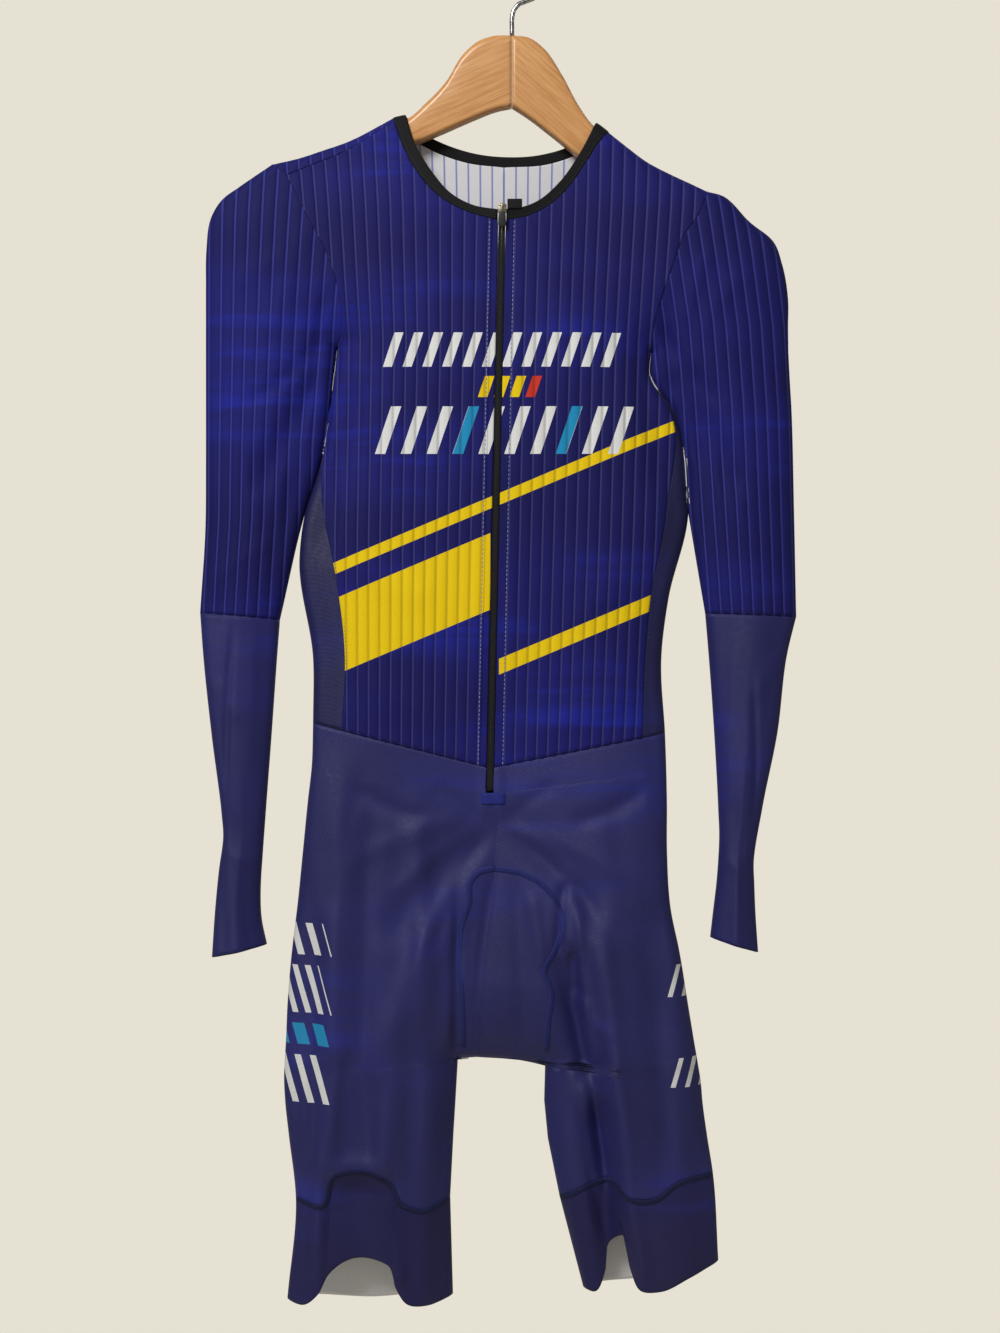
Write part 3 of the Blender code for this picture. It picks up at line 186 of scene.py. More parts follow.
# %% Leg bands: seam and hem, from the inner leg outwards
BAND = {
    "right": {
        "seam_front": table((-47.3, -954.4), (-68.2, -961.3), (-85.0, -954.4), (-91.9, -941.4),
                            (-117.2, -931.5), (-135.0, -936.1), (-143.0, -958.0),
                            (-165.6, -955.0)),
        "seam_back": table((-47.3, -954.4), (-106.0, -963.0), (-165.6, -955.0)),
        "hem_front": table((-45.2, -1028.7), (-63.6, -1033.3), (-79.7, -1031.0),
                           (-88.1, -1018.8), (-92.9, -1003.5), (-105.7, -998.9),
                           (-124.9, -1000.4), (-138.6, -1009.6), (-147.8, -1025.7),
                           (-159.3, -1034.1), (-172.0, -1032.0)),
        "hem_back": table((-45.2, -1028.7), (-106.0, -1038.0), (-172.0, -1032.0)),
    },
    "left": {
        "seam_front": table((36.4, -954.4), (64.3, -941.4), (76.6, -940.0), (84.5, -949.1),
                            (109.5, -951.4), (123.3, -941.4), (153.8, -936.1)),
        "seam_back": table((36.4, -954.4), (96.0, -950.0), (153.8, -936.1)),
        "hem_front": table((54.4, -1023.4), (63.0, -1024.9), (70.5, -1011.9), (74.5, -988.0),
                           (84.0, -980.0), (89.6, -1006.0), (96.5, -1020.3),
                           (111.8, -1021.1), (134.8, -1011.9), (158.0, -1002.7)),
        "hem_back": table((54.4, -1023.4), (105.0, -1022.0), (158.0, -1002.7)),
    },
}

# %% The neck: binding's inner edge x, z, then its outer edge x, z
NECK_FRONT = {
    "right": table((-10.9, -201.8, -10.9, -210.3), (-29.9, -198.4, -33.5, -204.0),
                   (-46.7, -189.2, -53.0, -193.8), (-59.0, -175.4, -68.5, -178.5),
                   (-68.5, -161.0, -79.0, -162.0), (-74.3, -150.1, -84.3, -150.1),
                   (-81.2, -127.2, -91.2, -129.5)),
    "left": table((-4.4, -201.6, -4.4, -210.0), (8.4, -199.9, 11.0, -207.4),
                  (20.7, -194.6, 26.4, -200.2), (36.0, -180.8, 42.6, -185.4),
                  (49.0, -162.4, 57.2, -164.4), (57.6, -147.0, 66.4, -150.0),
                  (64.3, -133.0, 74.3, -140.6)),
}
NECK_BACK = table((-81.2, -127.2, -91.2, -129.5), (-68.0, -138.6, -76.0, -143.6),
                  (-53.6, -146.0, -60.0, -152.6), (-29.9, -153.6, -34.0, -161.4),
                  (-6.0, -156.4, -6.0, -164.6), (24.0, -154.4, 28.0, -162.2),
                  (44.0, -148.4, 50.0, -155.0), (56.0, -141.6, 62.6, -148.4),
                  (64.3, -133.0, 74.3, -140.6))


def zip_x(z):
    return np.interp(z, (ZIP_END[1], ZIP_TOP[1]), (ZIP_END[0], ZIP_TOP[0]))


print("zip", round(math.dist(ZIP_TOP, ZIP_END), 1), "mm long")


# %% [markdown]
# ## One formula for the cloth
#
# Every piece is a stretch of the same two sheets, so one function places all cloth.
# Near the outline a sheet turns through a quarter of an ellipse, so that front and back
# meet in a round fold.  Further in it swells as a belly, and creases are added along
# lines.  A cloth simulation could make the creases, but a hung garment's folds are few
# and their places matter, so they are drawn one by one.

# %% The outline of the hanging garment
WALL = 1.2
EDGE_RADIUS, EDGE_DEPTH = 9.0, 8.5
BELLY_REACH = 60.0
OPENING_RUN = 60.0


def past_end(path):
    """A point in line with the path's end, past an open cuff or hem."""
    step = path[-1] - path[-2]
    return path[-1] + step / np.linalg.norm(step) * OPENING_RUN


def outline_paths():
    """Edges of the garment in the front view, as open lines."""
    paths = []
    for side, _ in SIDES:
        sleeve = [curve(rows, dense(rows)) for rows in
                  (ARMHOLE[side], UPPER_SLEEVE[side], LOWER_SLEEVE[side])]
        outer = np.concatenate([part[:, 2:] for part in sleeve])
        inner = np.concatenate([part[:, :2] for part in sleeve[1:]])
        shoulder = curve(SHOULDER[side], dense(SHOULDER[side]))
        shoulder = np.concatenate([NECK_FRONT[side][-1:, :2], shoulder])
        body = curve(BODY_SIDE[side], dense(BODY_SIDE[side]))
        legs = LEG_PANEL[side]
        outer_leg = np.concatenate([legs[:, 2:4], BAND[side]["seam_back"][-1:],
                                    BAND[side]["hem_back"][-1:]])
        inner_leg = np.concatenate([legs[CROTCH_ROW:, :2], BAND[side]["seam_back"][:1],
                                    BAND[side]["hem_back"][:1]])
        outer_leg = curve(outer_leg, dense(outer_leg))
        for path in (outer, inner, outer_leg):
            paths.append(np.concatenate([path, [past_end(path)]]))
        paths += [shoulder, body, np.concatenate([inner_leg, [past_end(inner_leg)]])]
    return paths


BODY_SIDE = {side: np.concatenate([ARMHOLE[side][-1:, :2], SIDE[side][:, [0, 2]],
                                   [WAIST_SIDE[side]]]) for side, _ in SIDES}
EDGES = outline_paths()
EDGE_START = np.concatenate([path[:-1] for path in EDGES])
EDGE_RUN = np.concatenate([np.diff(path, axis=0) for path in EDGES])
EDGE_LENGTH2 = np.maximum((EDGE_RUN**2).sum(axis=1), 1e-9)
EDGE_NORMAL = np.stack([-EDGE_RUN[:, 1], EDGE_RUN[:, 0]], axis=1)
EDGE_NORMAL /= np.sqrt(EDGE_LENGTH2)[:, None]
print(len(EDGE_START), "short lines make the outline")


# %% Distance from the outline, and the way that leads in from it
def from_outline(x, z, core=None):
    """Distance to the nearest edge line, and the unit direction away from it.  On the
    line itself that direction is the line's normal, turned towards the core."""
    here = np.stack([np.ravel(x), np.ravel(z)], axis=1)
    distance, away, normal = np.empty(len(here)), np.empty_like(here), np.empty_like(here)
    for k in range(0, len(here), 4000):
        part = here[k:k + 4000, None, :]
        share = np.clip(((part - EDGE_START) * EDGE_RUN).sum(axis=2) / EDGE_LENGTH2, 0.0, 1.0)
        offset = part - EDGE_START - share[..., None] * EDGE_RUN
        squared = (offset**2).sum(axis=2)
        nearest = squared.argmin(axis=1)
        rows = np.arange(len(nearest))
        distance[k:k + 4000] = np.sqrt(squared[rows, nearest])
        away[k:k + 4000] = offset[rows, nearest]
        normal[k:k + 4000] = EDGE_NORMAL[nearest]
    away /= np.maximum(distance, 1e-6)[:, None]
    if core is not None:
        centre = np.stack([np.ravel(np.broadcast_to(value, np.shape(x))) for value in core],
                          axis=1)
        side = np.sign(((centre - here) * normal).sum(axis=1))
        away = np.where((distance < 0.4)[:, None], normal * side[:, None], away)
    shape = np.shape(x)
    return distance.reshape(shape), away[:, 0].reshape(shape), away[:, 1].reshape(shape)


# %% The belly: how far the two sheets stand apart, smoothed
# Columns: z, front, back.
BELLY = table((-1040, 16, 15), (-880, 17, 15), (-790, 16, 14), (-700, 12, 11), (-600, 9, 7),
              (-450, 9, 7), (-300, 9, 6), (-200, 6, 4), (-130, 0, 0))
GRID_STEP = 4.0
GRID_X = np.arange(-260.0, 241.0, GRID_STEP)
GRID_Z = np.arange(-1120.0, -99.0, GRID_STEP)


def swell_field():
    """Rise of the belly over the front view: r (2 - r) with r the distance over its
    reach, then softened by a bell-shaped average so that no crease runs down a sleeve."""
    x, z = np.meshgrid(GRID_X, GRID_Z)
    reach = np.clip(from_outline(x, z)[0] / BELLY_REACH, 0.0, 1.0)
    field = reach * (2.0 - reach)
    weights = np.exp(-np.linspace(-2.0, 2.0, 9) ** 2)
    weights /= weights.sum()
    for axis in (0, 1):
        field = np.apply_along_axis(lambda line: np.convolve(line, weights, "same"),
                                    axis, field)
    return field


def sample(field, x, z):
    """Value of a gridded field between its points, by cubic steps in x and z."""
    def weights(t):
        return np.stack([(-t**3 + 2 * t**2 - t) / 2, (3 * t**3 - 5 * t**2 + 2) / 2,
                         (-3 * t**3 + 4 * t**2 + t) / 2, (t**3 - t**2) / 2])

    u, v = (x - GRID_X[0]) / GRID_STEP, (z - GRID_Z[0]) / GRID_STEP
    i = np.clip(u.astype(int), 1, len(GRID_X) - 3)
    j = np.clip(v.astype(int), 1, len(GRID_Z) - 3)
    wu, wv = weights(u - i), weights(v - j)
    total = np.zeros(np.shape(x))
    for a in range(4):
        for b in range(4):
            total += wv[a] * wu[b] * field[j + a - 1, i + b - 1]
    return total


SWELL = swell_field()
print("belly field", SWELL.shape, "highest", round(float(SWELL.max()), 2))

# %% Creases, drawn as lines on the front and on the back
# Columns: x and z of both ends, half width, height out of the cloth, bow to one side.
FRONT_FOLDS = table(
    (-116, -330, -148, -470, 9, -3.0, 0), (98, -300, 116, -420, 9, -3.0, 0),
    (-150, -330, -196, -420, 10, -3.5, 0), (122, -320, 176, -420, 10, -3.5, 0),
    (-232, -655, -188, -690, 12, -2.0, 0), (182, -690, 160, -655, 12, -2.0, 0),
    (-20, -660, -100, -760, 14, -3.0, 0), (-6, -660, 70, -740, 14, -3.0, 0),
    (-22, -700, -120, -870, 14, 3.0, 0), (40, -760, 62, -870, 13, -8.0, 0),
    (62, -870, 79, -1040, 12, -15.0, 0), (-118, -930, -116, -1040, 24, -14.0, 0),
    (-134, -840, -126, -930, 16, -6.0, 0),
)
FRONT_CREASES = table(
    # right sleeve: under the arm, down the inner edge, above the elbow
    (-140, -262, -152, -345, 4.5, -1.6, 3), (-146, -300, -206, -352, 6, -1.3, -5),
    (-152, -330, -172, -452, 5, -1.4, 4), (-168, -238, -214, -262, 9, 0.9, 4),
    (-200, -380, -180, -470, 7, -1.0, -3), (-226, -400, -222, -500, 6, 0.8, 2),
    (-176, -452, -228, -486, 7, 0.7, 3), (-160, -210, -186, -300, 8, 1.0, -4),
    # right forearm: the long crease and the kink above the cuff
    (-211, -514, -219, -664, 3.2, -1.7, 2), (-196, -520, -199, -640, 6, 1.2, 0),
    (-228, -682, -196, -700, 5, 1.1, 2), (-214, -690, -206, -768, 6, 1.0, 0),
    (-222, -700, -219, -770, 3, -0.9, 0), (-226, -560, -205, -590, 7, 0.7, 2),
    # left sleeve
    (113, -268, 122, -352, 4.5, -2.2, -3), (110, -285, 160, -350, 6, -1.8, 4),
    (108, -310, 150, -400, 5, -1.4, 3), (140, -350, 146, -460, 6, -1.2, -3),
    (176, -250, 140, -300, 9, 1.0, 3), (196, -300, 200, -420, 8, 0.8, -3),
    (166, -430, 206, -470, 7, 0.7, 3), (150, -230, 132, -290, 6, 1.1, 2),
    # left forearm
    (183, -556, 184, -711, 3.0, -1.6, -2), (168, -530, 164, -650, 6, 1.2, 0),
    (160, -694, 186, -708, 5, 1.1, 2), (170, -700, 172, -768, 6, 0.9, 0),
    (206, -540, 184, -575, 7, 0.8, 2),
    # chest and sides
    (-118, -300, -104, -380, 10, 0.9, 3), (88, -300, 74, -380, 10, 0.9, -3),
    (-60, -250, -52, -350, 12, 0.6, 0), (40, -240, 36, -360, 12, 0.6, 0),
    (-122, -470, -60, -500, 12, 0.8, 3), (92, -470, 40, -520, 12, 0.8, -3),
    (-120, -560, -30, -596, 10, 0.9, 4), (90, -566, 10, -600, 10, 0.9, -4),
    (-16, -420, -22, -560, 9, 0.9, 2), (-4, -430, -9, -590, 8, 0.7, -2),
    # round the zip's lower end
    (-24, -604, -20, -664, 5, 1.5, -2), (-9, -606, -8, -664, 5, 1.5, 2),
    (-26, -664, -60, -640, 6, -1.0, 2), (-2, -664, 34, -638, 6, -1.0, -2),
    # shorts: folds that radiate from the zip's end and the side
    (-24, -668, -92, -726, 7, 1.8, 4), (-30, -664, -128, -702, 8, 1.2, 6),
    (-18, -672, -62, -770, 6, -2, 4), (-22, -690, -84, -800, 7, 1.9, 6),
    (-6, -668, 52, -714, 6, 1.7, -4), (2, -676, 78, -760, 7, -1.8, -6),
    (4, -672, 96, -716, 8, 1.2, -5), (34, -700, 66, -792, 6, 1.8, -4),
    (-136, -610, -150, -760, 9, 1.4, 4), (-112, -622, -138, -740, 8, -1.2, 3),
    (98, -622, 112, -740, 8, 1.2, -3), (78, -640, 92, -760, 9, -1, 2),
    (-40, -770, -58, -950, 8, 2, 3), (-62, -800, -80, -960, 9, -2.2, 2),
    (-86, -800, -98, -940, 8, 1.8, -2), (-104, -860, -108, -930, 7, -2, 0),
    (-128, -830, -140, -936, 6, 2.2, 2), (-150, -780, -162, -900, 7, -1.5, 3),
    (-160, -850, -150, -960, 5, 1.6, 0), (-146, -900, -146, -1030, 5, 2.7, 0),
    (38, -720, 45, -790, 5, 2.2, 0), (46, -762, 52, -800, 4.5, -2.7, 3),
    (52, -800, 74, -830, 5, 2, 3), (56, -850, 70, -960, 5, 2.9, 2),
    (74, -830, 92, -960, 7, 2.2, 2), (98, -800, 112, -950, 9, -1.6, -3),
    (120, -800, 132, -950, 8, 1.2, 0), (36, -880, 50, -1000, 6, 1.8, 0),
    (88, -950, 100, -1020, 7, 2, 0), (-64, -950, -66, -1034, 9, 2, 0),
    (-92, -930, -90, -1010, 5, -2.4, 0), (-150, -960, -156, -1036, 6, 1.8, 0),
    # shorts: long folds down the legs
    (-107, -651, -112, -942, 9, -4.1, 3), (-74, -643, -67, -950, 10, 4.6, -4),
    (-128, -628, -135, -950, 9, 3.8, 3), (-149, -728, -153, -950, 6, -3.2, 0),
    (-41, -716, -43, -848, 4, -4.6, 0), (67, -728, 92, -934, 9, 4.3, 3),
    (98, -728, 119, -934, 10, -3.2, -3), (122, -712, 144, -919, 8, 3.2, 3),
    (39, -712, 35, -766, 4, -3.5, 0), (38, -781, 74, -950, 6, -5.4, -3),
    (48, -728, 60, -850, 4, 3.2, 0), (-92, -940, -84, -1024, 6, 3.5, 0),
    (-118, -640, -64, -664, 7, -2.2, 4), (104, -640, 44, -668, 7, -2.2, -4),
    # the seat pad's panel
    (-13, -700, -28, -846, 4, -2.1, 4), (2, -706, 8, -840, 7, -1.7, -2),
    (-32, -730, -36, -840, 5, -1.8, 0), (14, -720, 24, -780, 5, 1.5, 0),
)
BACK_FOLDS = table(
    (-110, -330, -140, -480, 10, -3.0, 0), (90, -310, 112, -450, 10, -3.0, 0),
    (-60, -640, -110, -800, 16, -3.5, 0), (30, -640, 80, -800, 16, -3.5, 0),
    (-6, -700, -20, -840, 14, -4.0, 0), (-110, -900, -108, -1040, 20, -4.0, 0),
    (92, -900, 104, -1030, 20, -4.0, 0), (-196, -655, -226, -700, 12, -2.0, 0),
    (160, -650, 184, -700, 12, -2.0, 0),
)
BACK_CREASES = table(
    (-150, -262, -136, -350, 6, -1.6, 3), (122, -262, 108, -350, 6, -1.6, -3),
    (-150, -320, -206, -372, 8, -1.3, 5), (124, -320, 186, -372, 8, -1.3, -5),
    (-176, -380, -200, -486, 8, 1.2, 3), (150, -380, 176, -486, 8, 1.2, -3),
    (-60, -190, -40, -330, 14, 1.2, 4), (46, -190, 24, -330, 14, 1.2, -4),
    (-100, -240, -80, -420, 12, -1.0, 4), (84, -240, 62, -420, 12, -1.0, -4),
    (-130, -470, -20, -530, 12, 1.3, 8), (102, -480, 0, -536, 12, 1.3, -8),
    (-120, -560, -14, -586, 9, -1.4, 5), (96, -566, 4, -588, 9, -1.4, -5),
    (-206, -520, -212, -660, 5, -1.6, 2), (176, -524, 170, -660, 5, -1.6, -2),
    (-214, -690, -204, -766, 6, 1.2, 0), (166, -690, 172, -764, 6, 1.2, 0),
    (-30, -640, -80, -760, 9, 2.0, 6), (14, -640, 62, -760, 9, 2.0, -6),
    (-120, -640, -140, -800, 10, 1.6, 4), (88, -640, 106, -800, 10, 1.6, -4),
    (-14, -760, -60, -842, 7, -2.4, 4), (-2, -760, 36, -842, 7, -2.4, -4),
    (-70, -820, -84, -1000, 9, 2.0, 3), (60, -820, 76, -990, 9, 2.0, -3),
    (-140, -820, -136, -1000, 9, 1.8, 2), (124, -820, 126, -980, 9, 1.8, -2),
)


def relief(lines, x, z):
    """Sum of soft ridges and troughs.  Across its line each is a bell curve, along it
    the height swells from nothing and fades again, and the line bows to one side."""
    total = np.zeros(np.shape(x))
    for x0, z0, x1, z1, half_width, height, bow in lines:
        run_x, run_z = x1 - x0, z1 - z0
        length = math.hypot(run_x, run_z)
        share = ((x - x0) * run_x + (z - z0) * run_z) / length**2
        aside = ((x - x0) * run_z - (z - z0) * run_x) / length
        aside = aside - bow * 4.0 * share * (1.0 - share)
        end = np.clip(np.minimum(share, 1.0 - share) * 4.0 + 0.25, 0.0, 1.0)
        end = end * end * (3.0 - 2.0 * end)
        total = total + height * end * np.exp(-((aside / half_width) ** 2))
    return total


def ripples(x, z, sheet):
    """Slow uneven waves, a fraction of a millimetre high, so that no stretch is flat."""
    return (0.34 * np.sin(x / 23.0 + 1.3 * np.sin(z / 61.0) + sheet)
            + 0.26 * np.sin(z / 37.0 + x / 71.0 + 2.0 * sheet)
            + 0.15 * np.sin((x + 0.6 * z) / 13.0) * np.sin(z / 90.0))


print(len(FRONT_CREASES) + len(BACK_CREASES), "creases besides the largest folds")


# %% The cloth itself
def cloth(x, z, sheet, lift=0.0, rise=0.0, core=None, fold=False):
    """Point of a sheet in metres; sheet is -1 in front and 1 behind.
    depth = edge depth times a quarter ellipse + belly + creases that fade at the fold.
    lift moves the point out of the cloth, and rise too, but not at the fold.  Points
    marked fold, where they reach the outline, lie exactly on it."""
    x, z = np.asarray(x, float), np.asarray(z, float)
    sheet = np.broadcast_to(np.asarray(sheet, float), x.shape)
    distance, dir_x, dir_z = from_outline(x, z, core)
    flat = np.clip(1.0 - distance / EDGE_RADIUS, 0.0, 1.0)
    flat = np.where(fold & (distance < 0.2), 1.0, flat)
    lift = lift + rise * (1.0 - flat**2)
    belly = np.where(sheet < 0, np.interp(z, BELLY[:, 0], BELLY[:, 1]),
                     np.interp(z, BELLY[:, 0], BELLY[:, 2]))
    belly = belly * sample(SWELL, x, z) * (1.0 - np.exp(-((distance / 12.0) ** 2)))
    front, back = np.zeros(x.shape), np.zeros(x.shape)
    if (sheet < 0).any():
        front = relief(FRONT_FOLDS, x, z) * np.minimum(distance / 25.0, 1.0)
        front = front + relief(FRONT_CREASES, x, z) * (1.0 - np.exp(-((distance / 7.0) ** 2)))
    if (sheet > 0).any():
        back = relief(BACK_FOLDS, x, z) * np.minimum(distance / 25.0, 1.0)
        back = back + relief(BACK_CREASES, x, z) * (1.0 - np.exp(-((distance / 7.0) ** 2)))
    waves = ripples(x, z, sheet) * (1.0 - np.exp(-((distance / 12.0) ** 2)))
    depth = (EDGE_DEPTH + lift) * np.sqrt(1.0 - flat**2) + belly + waves
    depth = depth + np.where(sheet < 0, front, back)
    place = np.stack([x - lift * flat * dir_x, sheet * depth, z - lift * flat * dir_z], axis=-1)
    return place * MM


# %% [markdown]
# ## From grids to closed shells
#
# A piece is one or more grids of front-view points, each with its sheet.  Its outer and
# inner face are the same grid, lifted and lowered, and a rim joins them along every open
# edge.  Solidify would do this too, but it knows nothing of the fold, where the wall has
# to turn.  Points that two grids share are joined first, so a sleeve closes by itself.

# %% Collections of faces as plain arrays
def corners_of(quads):
    """Corners of each face with repeats left out, and how many each face has."""
    keep = quads != np.roll(quads, 1, axis=1)
    count = keep.sum(axis=1)
    good = count >= 3
    return quads[good][keep[good]], count[good], (good[:, None] & keep)


def turned_round(counts):
    """Order that lists the corners of each face backwards."""
    starts = np.concatenate([[0], np.cumsum(counts)[:-1]])
    within = np.arange(counts.sum()) - np.repeat(starts, counts)
    return np.repeat(starts + counts - 1, counts) - within


def placed(name, mesh, body="garment"):
    """An object of a mesh, which rides on one of the model's bodies."""
    made = bpy.data.objects.new(name, mesh)
    bpy.context.scene.collection.objects.link(made)
    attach(made, body)
    return made


def new_object(name, places, loops, counts, slots, uv=None, rib=None):
    """Put whole arrays into a mesh with foreach_set."""
    mesh = bpy.data.meshes.new(name)
    mesh.vertices.add(len(places))
    mesh.loops.add(len(loops))
    mesh.polygons.add(len(counts))
    mesh.vertices.foreach_set("co", np.ravel(places).astype(np.float32))
    mesh.loops.foreach_set("vertex_index", loops.astype(np.int32))
    starts = np.concatenate([[0], np.cumsum(counts)[:-1]])
    mesh.polygons.foreach_set("loop_start", starts.astype(np.int32))
    mesh.polygons.foreach_set("material_index", slots.astype(np.int32))
    mesh.update(calc_edges=True)
    if uv is not None:
        layer = mesh.uv_layers.new(name="cloth")
        layer.data.foreach_set("uv", np.ravel(uv).astype(np.float32))
    if rib is not None:
        numbers = mesh.attributes.new("rib", "FLOAT", "POINT")
        numbers.data.foreach_set("value", rib.astype(np.float32))
    mesh.shade_smooth()
    mesh.validate()
    return placed(name, mesh)


def grid_quads(index):
    """Four corner numbers for each square of a grid of point numbers."""
    return np.stack([index[:-1, :-1], index[:-1, 1:], index[1:, 1:], index[1:, :-1]],
                    axis=-1).reshape(-1, 4)


def triangles_in(made):
    return sum(len(polygon.vertices) - 2 for polygon in made.data.polygons)


# %% A shell from grids
SAME_POINT = 0.0005


def lengths(places, axis):
    """Distance run along the rows or the columns of a grid, in metres."""
    step = np.linalg.norm(np.diff(places, axis=axis), axis=2)
    run = np.cumsum(step, axis=axis)
    zero = np.zeros_like(run[:1] if axis == 0 else run[:, :1])
    return np.concatenate([zero, run], axis=axis)


def shell(name, grids, rib_rise=0.0, wall=WALL, core=None):
    """Closed wall over grids (x, z, sheet, rib).  Between grooves, which lie at whole
    numbers of the rib value, the cloth rises as a sine squared.  Inside is towards the
    core, or else towards the middle of each row."""
    outer, inner, uvs, ribs, quads = [], [], [], [], []
    offset = 0
    for x, z, sheet, rib in grids:
        rise = rib_rise * np.sin(np.pi * np.clip(rib, 0.0, None)) ** 2
        inside = core or (x.mean(axis=1, keepdims=True), z.mean(axis=1, keepdims=True))
        fold = np.zeros(x.shape, bool)
        fold[:, [0, -1]] = True
        fold[[0, -1]] |= core is not None
        top = cloth(x, z, sheet, 0.0, rise, inside, fold)
        under = cloth(x, z, sheet, -wall, 0.0, inside, fold)
        rows, columns = x.shape
        index = np.arange(rows * columns).reshape(rows, columns) + offset
        quads.append(grid_quads(index))
        uvs.append(np.stack([lengths(top, 1), lengths(top, 0)], axis=-1).reshape(-1, 2))
        outer.append(top.reshape(-1, 3))
        inner.append(under.reshape(-1, 3))
        ribs.append(np.ravel(rib))
        offset += rows * columns
    outer, inner, uvs = map(np.concatenate, (outer, inner, uvs))
    ribs, quads = np.concatenate(ribs), np.concatenate(quads)
    keys = np.round(np.concatenate([outer, inner], axis=1) / (SAME_POINT * MM) + 0.31)
    _, first, joined = np.unique(keys, axis=0, return_index=True, return_inverse=True)
    joined = np.ravel(joined)
    outer, inner, ribs = outer[first], inner[first], ribs[first]
    number = len(outer)
    merged = joined[quads]
    a, b, c = outer[merged[:, 0]], outer[merged[:, 1]], outer[merged[:, 2]]
    outward = outer[merged[:, 0]] - inner[merged[:, 0]]
    if (np.cross(b - a, c - a) * outward).sum() < 0.0:
        merged, quads = merged[:, ::-1], quads[:, ::-1]
    loops, counts, kept = corners_of(merged)
    loop_uv = uvs[quads[kept]]
    starts = np.concatenate([[0], np.cumsum(counts)[:-1]])
    following = np.arange(len(loops)) + 1
    following[starts + counts - 1] = starts
    tail, head = loops, loops[following]
    is_rim = ~np.isin(tail * number + head, head * number + tail)
    tail, head, rim_uv = tail[is_rim], head[is_rim], loop_uv[is_rim]
    rim = np.stack([head, tail, tail + number, head + number], axis=1)
    order = turned_round(counts)
    all_loops = np.concatenate([loops, loops[order] + number, rim.reshape(-1)])
    all_counts = np.concatenate([counts, counts, np.full(len(rim), 4)])
    slots = np.concatenate([np.zeros(len(counts)), np.ones(len(counts)), np.zeros(len(rim))])
    all_uv = np.concatenate([loop_uv, loop_uv[order], np.repeat(rim_uv, 4, axis=0)])
    made = new_object(name, np.concatenate([outer, inner]), all_loops, all_counts, slots,
                      all_uv, np.concatenate([ribs, ribs]))
    print(name, triangles_in(made), "triangles")
    return made


# %% Where the columns of a tube lie
def tube_columns(width, middle, near=9):
    """Distances from the outer fold across a flat tube: close together round both folds,
    where 9 (1 - cos a) follows the turn of the cloth, and even between them."""
    turn = 1.0 - np.cos(np.linspace(0.0, math.pi / 2.0, near))
    edge = EDGE_RADIUS * np.minimum(1.0, width / (4.0 * EDGE_RADIUS))[:, None] * turn[None, :]
    first, last = edge[:, -1:], width[:, None] - edge[:, -1:]
    share = np.linspace(0.0, 1.0, middle + 2)[None, 1:-1]
    return np.concatenate([edge, first + share * (last - first), width[:, None] - edge[:, ::-1]],
                          axis=1)


# %% [markdown]
# ## Fronts and back
#
# A front runs from the armhole and the side seam to the neck and the zip.  Its rows are
# straight from side to centre, apart from the top ones, which follow the shoulder seam.
# The back comes over the shoulders' fold as far as that seam, as on the real suit, so
# its first rows lie on the front sheet.  Ribs are counted from the centre outwards, and
# their number is kept on every point, for the relief here and for the colour later.

# %% Rows between two lines
SEAM_INSET = 0.02
RIB_RISE = 0.5
ZIP_HALF, ZIP_PLAIN = 2.9, 10.0
BODY_COLUMNS = 96
BODY_CORE = (-10.0, -400.0)


def rib_pitch(z, sign=1.0):
    return np.interp(z, (-640.0, -450.0, -300.0, -130.0), (8.2, 8.6, 8.7, 9.6 - 0.25 * sign))


def off_chord(path):
    """How far a path leaves its own chord, as a function of the share of its width."""
    line = curve(path, dense(path, 1.5))
    order = np.argsort(line[:, 0])

    def rise(share):
        x = line[0, 0] + share * (line[-1, 0] - line[0, 0])
        z = np.interp(x, line[order, 0], line[order, 1])
        return z - line[0, 1] - share * (line[-1, 1] - line[0, 1])
    return rise


def span(start, end, bulge, weight, columns, inset=SEAM_INSET):
    """Rows of points from a start line to an end line, each row bulged by its weight."""
    width = np.maximum(np.linalg.norm(end - start, axis=1), 1e-6)[:, None]
    share = (inset + np.linspace(0.0, 1.0, columns)[None, :] * (width - 2.0 * inset)) / width
    x = start[:, :1] + share * (end[:, :1] - start[:, :1])
    z = start[:, 1:] + share * (end[:, 1:] - start[:, 1:])
    return x, z + np.asarray(weight)[:, None] * bulge(share)


def steps(*keys, count):
    """Even steps through matching lists of values."""
    at = np.linspace(0.0, len(keys[0]) - 1.0, count)
    return [np.interp(at, np.arange(len(key)), key) for key in keys]


def body_side(side, seam_end):
    """The seam beside the side panel, from the underarm to the waist."""
    seam = np.concatenate([ARMHOLE[side][-1:, :2], SIDE[side][:, 1:], [seam_end]])
    at = dense(seam)
    return curve(seam, at), at


def waist_front_z(x, side):
    side_x, side_z = WAIST_SIDE[side]
    return side_z + (x - side_x) / (WAIST_FRONT[0] - side_x) * (WAIST_FRONT[1] - side_z)


def waist_back_z(x):
    (x0, z0), (x1, z1) = WAIST_SIDE["right"], WAIST_SIDE["left"]
    return z0 + (x - x0) / (x1 - x0) * (z1 - z0)


